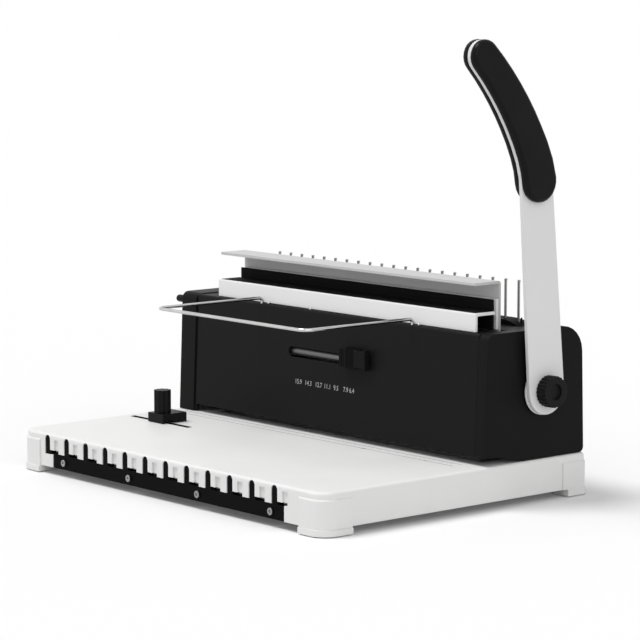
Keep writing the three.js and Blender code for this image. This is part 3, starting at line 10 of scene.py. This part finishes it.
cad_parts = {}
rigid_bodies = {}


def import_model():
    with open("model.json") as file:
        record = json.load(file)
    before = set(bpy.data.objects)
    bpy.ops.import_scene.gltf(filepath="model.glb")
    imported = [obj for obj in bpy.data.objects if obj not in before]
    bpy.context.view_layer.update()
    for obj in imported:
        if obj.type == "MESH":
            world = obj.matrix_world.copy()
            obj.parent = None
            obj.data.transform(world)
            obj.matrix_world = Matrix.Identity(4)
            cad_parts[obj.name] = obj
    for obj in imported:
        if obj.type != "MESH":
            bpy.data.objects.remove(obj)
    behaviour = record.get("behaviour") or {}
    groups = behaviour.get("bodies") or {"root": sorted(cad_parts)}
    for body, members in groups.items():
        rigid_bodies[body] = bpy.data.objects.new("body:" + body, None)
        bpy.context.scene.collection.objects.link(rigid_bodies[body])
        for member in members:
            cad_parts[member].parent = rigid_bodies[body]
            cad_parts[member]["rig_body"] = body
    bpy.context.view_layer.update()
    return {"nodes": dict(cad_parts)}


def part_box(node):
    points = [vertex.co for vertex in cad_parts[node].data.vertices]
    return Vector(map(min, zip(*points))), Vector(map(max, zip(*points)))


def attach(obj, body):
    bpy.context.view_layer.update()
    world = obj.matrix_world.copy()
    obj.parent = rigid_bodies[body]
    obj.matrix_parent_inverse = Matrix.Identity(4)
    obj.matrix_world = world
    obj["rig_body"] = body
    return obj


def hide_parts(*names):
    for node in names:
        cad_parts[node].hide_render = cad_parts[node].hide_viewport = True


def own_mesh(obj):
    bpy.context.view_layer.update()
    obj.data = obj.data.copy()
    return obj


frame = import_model()

# Sizes below are in millimetres unless their comment says otherwise
MM = 0.001

# Where the machine's own measures start in the frame: mid width and the base's front wall
MIDDLE_X = 0.1
FRONT_WALL_Y = -133.15

# Height of the paper table, which the die lies flush with
TABLE_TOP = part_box("die_block")[1].z / MM

# Camera: its place, and the ways that it looks and that its picture runs
CAMERA_PLACE = (1651.07, -1250.09, 400.50)
CAMERA_AHEAD = (-0.7551, 0.6435, -0.1256)
CAMERA_RIGHT = (0.6486, 0.7611, 0.0)
CAMERA_LENS = 155.72
CAMERA_SENSOR = 36.0
CAMERA_REACH_METRES = 100.0

# Lamps: the way to each, its strength and how wide it is in degrees
LAMPS = {
    "key": ((-0.13, -0.16, 0.46), 2.1, 28.0),
    "fill": ((0.90, -0.25, 0.45), 0.92, 60.0),
    "front": ((-0.70, -0.66, 0.28), 0.12, 40.0),
}

# Studio around the machine
PURE_WHITE = (1.0, 1.0, 1.0, 1.0)
WORLD_LEVEL = 0.48
BACKDROP_LEVEL = 1.0
FLOOR_TONE = (0.76, 0.76, 0.76, 1.0)
FLOOR_LIFT = 0.065
FLOOR_ROUGHNESS = 0.9
FLOOR_HALF_METRES = 30.0

# What varies over the finishes: its waves per metre and its layers of finer waves
PLASTIC_CLOUDS = (22.0, 4.0)
PLASTIC_PORES = (1500.0, 2.0)
COAT_CLOUDS = (14.0, 3.0)
COAT_PEEL = (420.0, 2.0)
COAT_SPECKS = (1900.0, 2.0)
STEEL_STAINS = (35.0, 4.0)
STEEL_LINES = (900.0, 4.0)
CHROME_HAZE = (60.0, 3.0)
GRIP_CLOUDS = (30.0, 3.0)
GRIP_MARKS = (260.0, 5.0)
RUBBER_DUST = (120.0, 5.0)
RUBBER_PORES = (2400.0, 2.0)
SPOOL_MARKS = (700.0, 3.0)
PANEL_WEAR = (900.0, 3.0)
TABLE_WEAR = (700.0, 3.0)

# Those waves even in all ways, or drawn out along the machine, up it, or along the grip
EVEN = (1.0, 1.0, 1.0)
ALONG_X = (0.03, 1.0, 1.0)
ALONG_Z = (1.0, 1.0, 0.03)
ALONG_GRIP = (1.0, 0.35, 1.0)

# How far each of them changes the roughness, from least to most
CLOUD_SWING = 0.10
PORE_SWING = 0.06
PEEL_SWING = 0.10
COAT_CLOUD_SWING = 0.06
LINE_SWING = 0.16
STAIN_SWING = 0.08
HAZE_SWING = 0.05
GRIP_MARK_SWING = 0.14
GRIP_CLOUD_SWING = 0.06
DUST_SWING = 0.15
WEAR_SWING = 0.2
SPOOL_MARK_SWING = 0.10

# Middle roughness of the finishes that come in one kind
CHROME_ROUGHNESS = 0.095
GRIP_ROUGHNESS = 0.26
RUBBER_ROUGHNESS = 0.695
INK_ROUGHNESS = 0.55
SPOOL_ROUGHNESS = 0.39

# Strength of the relief in the finishes, and its depth in metres
PORE_DEPTH = 0.00006
PEEL_DEPTH = 0.00008
LINE_RELIEF = (0.10, 0.00004)
GRIP_RELIEF = (0.04, 0.00004)
RUBBER_RELIEF = (0.15, 0.00005)
SPOOL_RELIEF = (0.08, 0.00005)

# Share of the coat's relief that its peel makes; specks make the rest
PEEL_SHARE = 0.7

# Darkest and lightest tone: of plastics, coats and steels in shares of their level, then as they are
EVEN_TONES = (0.97, 1.03)
STAINED_TONES = (0.90, 1.06)
CHROME_TONES = (0.40, 0.64)
GRIP_TONES = (0.004, 0.007)
RUBBER_TONES = (0.004, 0.009)
PANEL_INK_TONES = (0.32, 0.46)
TABLE_INK_TONES = (0.24, 0.34)
SPOOL_TONES = (0.005, 0.009)
# Painted shade: the near black tone of the size knob's block
SPOOL_BLOCK_SHADE_TONE = 0.001
PLASTIC_WARMTH = 0.004

# Gloss that is the same all over: specular levels, and the grip's thin coat
GRIP_SPECULAR = 0.07
GRIP_COAT = 0.04
GRIP_COAT_ROUGHNESS = 0.08
RUBBER_SPECULAR = 0.05
INK_SPECULAR = 0.3
SPOOL_SPECULAR = 0.04

# Rounded edges: steps across each, and the least turn in degrees that makes an edge
EDGE_STEPS = 2
EDGE_TURN = 35.0
FLAT_FACE_WEIGHT = 80

# Clearing of a solid's mesh: gap closed in metres, and turn in degrees still taken as flat
WELD_METRES = 1e-6
FLAT_TURN = 0.3

# Corners of each side of a box, as add_box makes them
BOX_SIDES = ((0, 1, 3, 2), (4, 6, 7, 5), (0, 4, 5, 1), (2, 3, 7, 6), (0, 2, 6, 4), (1, 5, 7, 3))

# Comb sizes printed on the front panel, each with its place across the machine
SIZE_NUMBERS = (("15.9", -31.3), ("14.3", -19.1), ("12.7", -6.4), ("11.1", 4.4),
                ("9.5", 14.8), ("7.9", 26.5), ("6.4", 33.7))
SIZE_NUMBER_Z = 72.7
SIZE_NUMBER_HEIGHT = 3.8
SIZE_NUMBER_WIDTH_SHARE = 0.9
DIGIT_SHARE = 0.69
INK = 0.03

# The guide's slot in the table, and the black sheet painted on its rim and walls as shade
SLOT_LEFT = -177.7
SLOT_LENGTH = 76.5
SLOT_MIDDLE = 104.4
SLOT_WIDTH = 4.0
SLOT_SHADE_LIP = 0.4
SLOT_SHADE_WALL = 0.25
SLOT_SHADE_THICKNESS = 0.15
SLOT_SHADE_DEPTH = 2.6

# Block of the size knob that is painted near black as shade, in shares of the knob's length
SHADED_BLOCK_FROM_SHARE = 0.25
SHADED_BLOCK_TO_SHARE = 0.58

# Black strip on the wire closer's channel
PAD_SETBACK = 1.2
PAD_END = 2.0
PAD_THICKNESS = 0.2

# Ruler along the rear of the table
RULER_LEFT = -173.0
RULER_RIGHT = 166.0
RULER_FRONT = 146.0
RULER_REAR = 155.0
RULER_LINE = 0.9
RULER_TICK_WIDTH = 0.6
RULER_STEP = 5.0
RULER_LONG_EVERY = 2
RULER_SHORT_TICK = 2.0
RULER_LONG_TICK = 3.6


def place(x, y, z):
    """A point of the machine in the frame, in metres."""
    return Vector(((x + MIDDLE_X) * MM, (y + FRONT_WALL_Y) * MM, z * MM))


class Value:
    """What a node gives out, as a term of a sum, a product or a comparison."""

    def __init__(self, nodes, socket):
        self.nodes = nodes
        self.socket = socket

    def __add__(self, other):
        return self.nodes.maths("ADD", self, other)

    def __radd__(self, other):
        return self.nodes.maths("ADD", other, self)

    def __sub__(self, other):
        return self.nodes.maths("SUBTRACT", self, other)

    def __rsub__(self, other):
        return self.nodes.maths("SUBTRACT", other, self)

    def __mul__(self, other):
        return self.nodes.maths("MULTIPLY", self, other)

    def __rmul__(self, other):
        return self.nodes.maths("MULTIPLY", other, self)

    def __gt__(self, other):
        return self.nodes.maths("GREATER_THAN", self, other)

    def __lt__(self, other):
        return self.nodes.maths("LESS_THAN", self, other)

    def swing(self, amount):
        """A change about nothing, of that size from end to end, by a mask that goes from 0 to 1."""
        return (self - 0.5) * amount


class Nodes:
    """The nodes of a finish or of the studio, and the one way to add to them."""

    def __init__(self, tree):
        self.tree = tree

    def node(self, kind, settings=None, inputs=None, output=0):
        made = self.tree.nodes.new(kind)
        for name, value in (settings or {}).items():
            setattr(made, name, value)
        for key, value in (inputs or {}).items():
            self.feed(made.inputs[key], value)
        return Value(self, made.outputs[output])

    def maths(self, operation, first, second):
        return self.node("ShaderNodeMath", {"operation": operation}, {0: first, 1: second})

    def feed(self, socket, value):
        if isinstance(value, Value):
            self.tree.links.new(value.socket, socket)
        else:
            socket.default_value = value


class Finish(Nodes):
    """A material whose shader takes its changes over the surface from nodes."""

    def __init__(self, name, slot=None, **fixed):
        self.slot = slot
        self.material = bpy.data.materials.new(name)
        self.material.use_nodes = True
        super().__init__(self.material.node_tree)
        self.shader = self.tree.nodes["Principled BSDF"]
        for socket, value in fixed.items():
            self.surface(socket.replace("_", " "), value)

    def surface(self, socket, value):
        self.feed(self.shader.inputs[socket], value)

    def spot(self):
        return self.node("ShaderNodeTexCoord", output="Object")

    def noise(self, waves, stretch=EVEN):
        per_metre, layers = waves
        drawn = self.node("ShaderNodeMapping", {}, {"Vector": self.spot(), "Scale": stretch})
        return self.node("ShaderNodeTexNoise", {}, {
            "Vector": drawn, "Scale": per_metre, "Detail": layers})

    def blend(self, amount, first, second):
        return self.node("ShaderNodeMix", {"data_type": "RGBA", "clamp_factor": True}, {
            0: amount, 6: first, 7: second}, output=2)

    def tone(self, mask, tones, level=1.0, warmth=0.0):
        """A grey from the darkest to the lightest tone, by a mask that goes from 0 to 1."""
        darkest, lightest = tones
        return self.blend(mask, shade(level * darkest, warmth), shade(level * lightest, warmth))

    def relief(self, height, strength, depth):
        bump = self.node("ShaderNodeBump", {}, {
            "Height": height, "Strength": strength, "Distance": depth})
        self.surface("Normal", bump)


def shade(level, warmth=0.0):
    return (level * (1 + warmth), level, level * (1 - warmth), 1.0)


def moulded_plastic(name, slot, level, rough, grain, specular):
    """Moulded plastic: fine spark-eroded grain and faint clouding."""
    finish = Finish(name, slot, Specular_IOR_Level=specular)
    cloud = finish.noise(PLASTIC_CLOUDS)
    pores = finish.noise(PLASTIC_PORES)
    finish.surface("Base Color", finish.tone(cloud, EVEN_TONES, level, PLASTIC_WARMTH))
    finish.surface("Roughness", rough + cloud.swing(CLOUD_SWING) + pores.swing(PORE_SWING))
    finish.relief(pores, grain, PORE_DEPTH)
    return finish


def powder_coat(name, slot, level, rough, grain, specular):
    """Baked powder coat on steel: an orange-peel surface with slight clouding."""
    finish = Finish(name, slot, Specular_IOR_Level=specular)
    peel = finish.noise(COAT_PEEL)
    specks = finish.noise(COAT_SPECKS)
    cloud = finish.noise(COAT_CLOUDS)
    finish.surface("Base Color", finish.tone(cloud, EVEN_TONES, level))
    finish.surface("Roughness", rough + peel.swing(PEEL_SWING) + cloud.swing(COAT_CLOUD_SWING))
    finish.relief(peel * PEEL_SHARE + specks * (1 - PEEL_SHARE), grain, PEEL_DEPTH)
    return finish


def steel(name, slot, level, rough, stretch):
    """Bare or plated steel with drawing lines along one direction and slight staining."""
    finish = Finish(name, slot, Metallic=1.0)
    lines = finish.noise(STEEL_LINES, stretch)
    stains = finish.noise(STEEL_STAINS)
    finish.surface("Base Color", finish.tone(stains, STAINED_TONES, level))
    finish.surface("Roughness", rough + lines.swing(LINE_SWING) + stains.swing(STAIN_SWING))
    finish.relief(lines, *LINE_RELIEF)
    return finish


def chrome_plate():
    """Bright chrome with a thin haze."""
    finish = Finish("chrome", "chrome_wire", Metallic=1.0)
    haze = finish.noise(CHROME_HAZE)
    finish.surface("Base Color", finish.tone(haze, CHROME_TONES))
    finish.surface("Roughness", CHROME_ROUGHNESS + haze.swing(HAZE_SWING))
    return finish


def polished_grip():
    """Glossy black grip plastic with faint handling marks."""
    finish = Finish("grip plastic", "black_grip",
                    Specular_IOR_Level=GRIP_SPECULAR, Coat_Roughness=GRIP_COAT_ROUGHNESS)
    cloud = finish.noise(GRIP_CLOUDS)
    marks = finish.noise(GRIP_MARKS, ALONG_GRIP)
    roughness = GRIP_ROUGHNESS + marks.swing(GRIP_MARK_SWING) + cloud.swing(GRIP_CLOUD_SWING)
    finish.surface("Base Color", finish.tone(cloud, GRIP_TONES))
    finish.surface("Roughness", roughness)
    finish.surface("Coat Weight", GRIP_COAT + cloud.swing(GRIP_COAT))
    finish.relief(marks, *GRIP_RELIEF)
    return finish


def soft_rubber():
    """Dull black rubber with dust in its pores."""
    finish = Finish("rubber", "black_rubber", Specular_IOR_Level=RUBBER_SPECULAR)
    dust = finish.noise(RUBBER_DUST)
    finish.surface("Base Color", finish.tone(dust, RUBBER_TONES))
    finish.surface("Roughness", RUBBER_ROUGHNESS + dust.swing(DUST_SWING))
    finish.relief(finish.noise(RUBBER_PORES), *RUBBER_RELIEF)
    return finish


def printing_ink(name, tones, waves):
    """Printed ink, a little worn."""
    finish = Finish(name, "white_plastic", Specular_IOR_Level=INK_SPECULAR)
    wear = finish.noise(waves)
    finish.surface("Base Color", finish.tone(wear, tones))
    finish.surface("Roughness", INK_ROUGHNESS + wear.swing(WEAR_SWING))
    return finish


def spool_plastic():
    """Plastic of the size knob, whose raised block between two places is painted near black as shade,
    standing in for the shading its flat front does not get.
    """
    finish = Finish("size knob plastic with painted shade", "black_plastic", Specular_IOR_Level=SPOOL_SPECULAR)
    low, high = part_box("size_knob")
    shaded_block_from = low.x + (high.x - low.x) * SHADED_BLOCK_FROM_SHARE
    shaded_block_to = low.x + (high.x - low.x) * SHADED_BLOCK_TO_SHARE
    along = finish.node("ShaderNodeSeparateXYZ", {}, {0: finish.spot()})
    on_shaded_block = (along > shaded_block_from) * (along < shaded_block_to)
    marks = finish.noise(SPOOL_MARKS)
    body = finish.tone(marks, SPOOL_TONES)
    # Painted shade: the block is coloured near black in place of shading
    finish.surface("Base Color", finish.blend(on_shaded_block, body, shade(SPOOL_BLOCK_SHADE_TONE)))
    finish.surface("Roughness", SPOOL_ROUGHNESS + marks.swing(SPOOL_MARK_SWING))
    finish.relief(marks, *SPOOL_RELIEF)
    return finish


# Plastics and coats: name, slot, level, roughness, strength of the grain, specular level
WHITE_PLASTIC = moulded_plastic("white plastic", "white_plastic", 0.72, 0.50, 0.10, 0.15)
BLACK_PLASTIC = moulded_plastic("black plastic", "black_plastic", 0.007, 0.44, 0.20, 0.05)
KNOB_PLASTIC = moulded_plastic("knob plastic", "black_plastic", 0.007, 0.40, 0.12, 0.08)
BEARING_PLASTIC = moulded_plastic("bearing plastic", "bearing_plastic", 0.05, 0.5, 0.1, 0.3)
SPOOL_PLASTIC = spool_plastic()
WHITE_STEEL = powder_coat("white powder coat", "white_steel", 0.76, 0.40, 0.06, 0.2)
# Painted shade: a darker copy of the white coat for the lever arm, standing in for the lesser light on
# its side
LEVER_SHADED_STEEL = powder_coat("lever powder coat with painted shade", "white_steel", 0.67, 0.40, 0.06, 0.2)
# Painted shade: a darker copy of the white coat for the upper jaw, standing in for the shade under its
# flange and the lesser light on its top
JAW_SHADED_STEEL = powder_coat("jaw powder coat with painted shade", "white_steel", 0.50, 0.44, 0.06, 0.1)
BLACK_STEEL = powder_coat("black powder coat", "black_steel", 0.0085, 0.46, 0.10, 0.05)
# Painted shade: a darker copy of the black coat for the front strip, in shade under the rack's edge,
# and for the finger carrier, whose top is made dark as shade
STRIP_SHADED_STEEL = powder_coat("strip coat with painted shade", "black_steel", 0.005, 0.55, 0.10, 0.02)

# Steels: name, slot, level, roughness, the way of their drawing lines
GREY_STEEL = steel("machined steel", "grey_steel", 0.34, 0.42, ALONG_X)
BRIGHT_STEEL = steel("plated steel", "bright_steel", 0.62, 0.26, ALONG_X)
ROD_STEEL = steel("rod steel", "bright_steel", 0.16, 0.46, ALONG_X)
SCREW_STEEL = steel("screw steel", "bright_steel", 0.30, 0.30, ALONG_Z)
FINGER_STEEL = steel("finger steel", "bright_steel", 0.30, 0.42, ALONG_Z)
CHROME = chrome_plate()

GRIP = polished_grip()
RUBBER = soft_rubber()
PANEL_INK = printing_ink("panel ink", PANEL_INK_TONES, PANEL_WEAR)
TABLE_INK = printing_ink("table ink", TABLE_INK_TONES, TABLE_WEAR)

# Pieces made in their solid's shape, with their finish and how far their edges are rounded
SHOWN_PIECES = {
    "base_tray": (WHITE_PLASTIC, 0.35),
    "rubber_foot_front_left": (RUBBER, 0.3),
    "rubber_foot_front_right": (RUBBER, 0.3),
    "rubber_foot_rear_left": (RUBBER, 0.3),
    "rubber_foot_rear_right": (RUBBER, 0.3),
    "front_strip": (STRIP_SHADED_STEEL, 0.3),
    "strip_screw_1": (SCREW_STEEL, 0.25),
    "strip_screw_2": (SCREW_STEEL, 0.25),
    "strip_screw_3": (SCREW_STEEL, 0.25),
    "strip_screw_4": (SCREW_STEEL, 0.25),
    "left_end_cap": (BLACK_PLASTIC, 0.8),
    "right_end_cap": (BLACK_PLASTIC, 0.8),
    "front_panel": (BLACK_STEEL, 0.4),
    "rear_cover": (BLACK_STEEL, 0),
    "panel_rivet_1": (BRIGHT_STEEL, 0.2),
    "panel_rivet_2": (BRIGHT_STEEL, 0.2),
    "panel_rivet_3": (BRIGHT_STEEL, 0.2),
    "lower_jaw": (WHITE_STEEL, 0.4),
    "magnet_bar": (RUBBER, 0.3),
    "backing_plate": (WHITE_STEEL, 0.3),
    "size_rod": (ROD_STEEL, 0.3),
    "left_return_spring": (BRIGHT_STEEL, 0),
    "right_return_spring": (BRIGHT_STEEL, 0),
    "upper_jaw": (JAW_SHADED_STEEL, 0.4),
    "finger_carrier": (STRIP_SHADED_STEEL, 0.2),
    "comb_fingers": (FINGER_STEEL, 0.3),
    "lever_hub": (WHITE_PLASTIC, 0.5),
    "lever_arm": (LEVER_SHADED_STEEL, 0.4),
    "grip_outer": (GRIP, 0.6),
    "grip_inner": (GRIP, 0.6),
    "pivot_knob": (KNOB_PLASTIC, 0.4),
    "depth_knob": (KNOB_PLASTIC, 0.3),
    "size_carriage": (KNOB_PLASTIC, 0.3),
    "size_knob": (SPOOL_PLASTIC, 0.4),
    "paper_guide": (KNOB_PLASTIC, 0.5),
    "guide_knob": (KNOB_PLASTIC, 0.4),
    "wire_rest": (CHROME, 0),
    "chip_tray": (WHITE_PLASTIC, 0.4),
}

# Inner pieces that keep their solid's mesh, with their finish
INNER_PIECES = {
    "left_side_frame": GREY_STEEL,
    "right_side_frame": GREY_STEEL,
    "punch_guide": GREY_STEEL,
    "die_block": GREY_STEEL,
    "left_bearing": BEARING_PLASTIC,
    "right_bearing": BEARING_PLASTIC,
    "rod_bracket_left": BLACK_PLASTIC,
    "rod_bracket_right": BLACK_PLASTIC,
    "punch_bar": GREY_STEEL,
    "jaw_screw_1": BRIGHT_STEEL,
    "jaw_screw_2": BRIGHT_STEEL,
    "comb_slide_bar": GREY_STEEL,
    "cross_shaft": GREY_STEEL,
    "left_cam": GREY_STEEL,
    "right_cam": GREY_STEEL,
    "depth_spindle": BRIGHT_STEEL,
    "depth_stop": GREY_STEEL,
    "guide_nut": BRIGHT_STEEL,
}


def new_piece(name, mesh, finish, body):
    piece = bpy.data.objects.new(name, mesh)
    bpy.context.scene.collection.objects.link(piece)
    mesh.materials.clear()
    mesh.materials.append(finish.material)
    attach(piece, body)
    return piece


def mesh_of(build, name="shape"):
    shape = bmesh.new()
    build(shape)
    mesh = bpy.data.meshes.new(name)
    shape.to_mesh(mesh)
    shape.free()
    return mesh


def soften(piece, width):
    """Small round edges, with the flat faces kept flat to the light."""
    for polygon in piece.data.polygons:
        polygon.use_smooth = True
    if width > 0:
        edge = piece.modifiers.new("edges", "BEVEL")
        edge.width = width * MM
        edge.segments = EDGE_STEPS
        edge.limit_method = "ANGLE"
        edge.angle_limit = math.radians(EDGE_TURN)
        edge.use_clamp_overlap = True
    normals = piece.modifiers.new("normals", "WEIGHTED_NORMAL")
    normals.mode = "FACE_AREA"
    normals.weight = FLAT_FACE_WEIGHT
    normals.keep_sharp = True


def dressed(node, finish, width):
    """A piece with its solid's shape and softened edges, shown in the solid's place."""
    source = frame["nodes"][node]

    def build(shape):
        shape.from_mesh(source.data)
        bmesh.ops.remove_doubles(shape, verts=shape.verts, dist=WELD_METRES)
        bmesh.ops.dissolve_limit(
            shape, angle_limit=math.radians(FLAT_TURN), verts=shape.verts, edges=shape.edges)

    piece = new_piece(node + ".dressed", mesh_of(build, node + ".shape"), finish, source["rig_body"])
    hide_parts(node)
    soften(piece, width)
    return piece


def coat(node, finish):
    """A solid that keeps its own mesh and takes a finish."""
    mesh = frame["nodes"][node].data
    mesh.materials.clear()
    mesh.materials.append(finish.material)
    for polygon in mesh.polygons:
        polygon.material_index = 0


def shorten_with_press(spring):
    """Gives a coil spring below the punch bar a mesh of its own."""
    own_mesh(spring)


def add_box(shape, low, high):
    verts = [shape.verts.new((x, y, z))
             for x in (low[0], high[0])
             for y in (low[1], high[1])
             for z in (low[2], high[2])]
    for side in BOX_SIDES:
        shape.faces.new([verts[i] for i in side])


def table_ruler():
    """Two lines along the table with ticks between them."""
    half_line = RULER_LINE / 2
    half_tick = RULER_TICK_WIDTH / 2

    def build(shape):
        def mark(x0, x1, y0, y1):
            add_box(shape, place(x0, y0, TABLE_TOP), place(x1, y1, TABLE_TOP + INK))

        for line in (RULER_FRONT, RULER_REAR):
            mark(RULER_LEFT, RULER_RIGHT, line - half_line, line + half_line)
        count = int((RULER_RIGHT - RULER_LEFT) / RULER_STEP)
        for index in range(1, count):
            x = RULER_LEFT + index * RULER_STEP
            reach = RULER_LONG_TICK if index % RULER_LONG_EVERY == 0 else RULER_SHORT_TICK
            mark(x - half_tick, x + half_tick, RULER_REAR - reach, RULER_REAR - RULER_LINE)

    new_piece("table_ruler", mesh_of(build), TABLE_INK, "machine_body")


def guide_slot_shade():
    """Painted shade: a black sheet as a lip round the rim of the slot in the table and as a lining on
    its walls, where the open slot is dark.
    """
    left = SLOT_LEFT
    right = SLOT_LEFT + SLOT_LENGTH
    front = SLOT_MIDDLE - SLOT_WIDTH / 2
    rear = SLOT_MIDDLE + SLOT_WIDTH / 2
    wall = SLOT_SHADE_WALL

    def build(shape):
        def shade_sheet(reach, low, high):
            for y0, y1 in ((front - reach, front + wall), (rear - wall, rear + reach)):
                add_box(shape, place(left - reach, y0, low), place(right + reach, y1, high))
            for x0, x1 in ((left - reach, left + wall), (right - wall, right + reach)):
                add_box(shape, place(x0, front + wall, low), place(x1, rear - wall, high))

        shade_sheet(SLOT_SHADE_LIP, TABLE_TOP, TABLE_TOP + SLOT_SHADE_THICKNESS)
        shade_sheet(0.0, TABLE_TOP - SLOT_SHADE_DEPTH, TABLE_TOP)

    new_piece("guide_slot_shade", mesh_of(build), RUBBER, "machine_body")


def closer_pad():
    """A thin black strip on the top of the wire closer's channel."""
    low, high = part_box("lower_jaw")
    front_left = (low.x + PAD_END * MM, low.y + PAD_SETBACK * MM, high.z)
    rear_right = (high.x - PAD_END * MM, high.y, high.z + PAD_THICKNESS * MM)

    def build(shape):
        add_box(shape, front_left, rear_right)

    new_piece("closer_pad", mesh_of(build), RUBBER, "machine_body")


def panel_face(z):
    """Where the front panel's face is at a height, and how far it leans back."""
    low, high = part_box("front_panel")
    points = [v.co for v in frame["nodes"]["front_panel"].data.vertices]
    foot = min(points, key=lambda co: co.y)
    head = min((co for co in points if co.z > (low.z + high.z) / 2), key=lambda co: co.y)
    slope = (head.y - foot.y) / (head.z - foot.z)
    return foot.y + slope * (z * MM - foot.z), math.atan(slope)


def number_mesh(text):
    """A printed number, lying flat with its middle at the origin."""
    letters = bpy.data.curves.new("size", "FONT")
    letters.body = text
    letters.size = SIZE_NUMBER_HEIGHT / DIGIT_SHARE * MM
    letters.align_x = "CENTER"
    letters.align_y = "CENTER"
    letters.extrude = INK * MM / 2
    writer = bpy.data.objects.new("size", letters)
    bpy.context.scene.collection.objects.link(writer)
    bpy.context.view_layer.update()
    written = writer.evaluated_get(bpy.context.evaluated_depsgraph_get())
    mesh = bpy.data.meshes.new_from_object(written)
    bpy.data.objects.remove(writer)
    return mesh


def size_numbers():
    """The comb sizes in millimetres, printed on the leaning panel below the size slot."""
    face, lean = panel_face(SIZE_NUMBER_Z)
    narrow = Matrix.Diagonal((SIZE_NUMBER_WIDTH_SHARE, 1.0, 1.0, 1.0))
    upright = Matrix.Rotation(math.radians(90) - lean, 4, "X")
    for index, (text, x) in enumerate(SIZE_NUMBERS):
        spot = place(x, 0, SIZE_NUMBER_Z)
        spot.y = face - INK * MM / 2
        mesh = number_mesh(text)
        mesh.transform(Matrix.Translation(spot) @ upright @ narrow)
        new_piece(f"size_number_{index + 1}", mesh, PANEL_INK, "machine_body")


def machine_pieces():
    shown = {node: dressed(node, *looks) for node, looks in SHOWN_PIECES.items()}
    for node in ("left_return_spring", "right_return_spring"):
        shorten_with_press(shown[node])
    for node, finish in INNER_PIECES.items():
        coat(node, finish)
    table_ruler()
    # Painted shade in and round the guide's slot
    guide_slot_shade()
    closer_pad()
    size_numbers()


def add_lamps():
    for name, (direction, strength, width) in LAMPS.items():
        lamp = bpy.data.lights.new(name, "SUN")
        lamp.energy = strength
        lamp.angle = math.radians(width)
        sun = bpy.data.objects.new(name, lamp)
        sun.rotation_euler = Vector(direction).to_track_quat("Z", "Y").to_euler()
        bpy.context.scene.collection.objects.link(sun)


def background_rays(nodes):
    """1 for the rays that show the backdrop: from the camera, a reflection or through glass."""
    total = nodes.node("ShaderNodeLightPath", output="Is Camera Ray")
    for name in ("Is Glossy Ray", "Is Transmission Ray"):
        total = nodes.maths("MAXIMUM", total, nodes.node("ShaderNodeLightPath", output=name))
    return total


def studio_world():
    """Even light on the machine, with a white backdrop behind it."""
    world = bpy.data.worlds.new("studio")
    world.use_nodes = True
    bpy.context.scene.world = world
    nodes = Nodes(world.node_tree)
    light = nodes.node("ShaderNodeBackground", {}, {"Color": PURE_WHITE, "Strength": WORLD_LEVEL})
    backdrop = nodes.node("ShaderNodeBackground", {}, {"Color": PURE_WHITE, "Strength": BACKDROP_LEVEL})
    shown = nodes.node("ShaderNodeMixShader", {}, {0: background_rays(nodes), 1: light, 2: backdrop})
    nodes.feed(nodes.tree.nodes["World Output"].inputs["Surface"], shown)


def studio_floor():
    """A pale floor that is lifted towards white where it is seen, and keeps the shadow."""
    finish = Finish("floor", Base_Color=FLOOR_TONE, Roughness=FLOOR_ROUGHNESS,
                    Specular_IOR_Level=0.0, Emission_Color=PURE_WHITE)
    finish.surface("Emission Strength", background_rays(finish) * FLOOR_LIFT)

    def build(shape):
        corners = ((-1, -1), (1, -1), (1, 1), (-1, 1))
        half = FLOOR_HALF_METRES
        shape.faces.new([shape.verts.new((x * half, y * half, 0.0)) for x, y in corners])

    mesh = mesh_of(build)
    mesh.materials.append(finish.material)
    floor = bpy.data.objects.new("floor", mesh)
    bpy.context.scene.collection.objects.link(floor)


def studio_camera():
    lens = bpy.data.cameras.new("camera")
    lens.lens = CAMERA_LENS
    lens.sensor_width = CAMERA_SENSOR
    lens.clip_end = CAMERA_REACH_METRES
    camera = bpy.data.objects.new("camera", lens)
    ahead = Vector(CAMERA_AHEAD).normalized()
    right = Vector(CAMERA_RIGHT)
    right = (right - ahead * right.dot(ahead)).normalized()
    turn = Matrix((right, right.cross(ahead), -ahead)).transposed().to_4x4()
    camera.matrix_world = Matrix.Translation(place(*CAMERA_PLACE)) @ turn
    bpy.context.scene.collection.objects.link(camera)
    bpy.context.scene.camera = camera


machine_pieces()
studio_camera()
studio_world()
studio_floor()
add_lamps()
bpy.context.scene.view_settings.view_transform = "Standard"
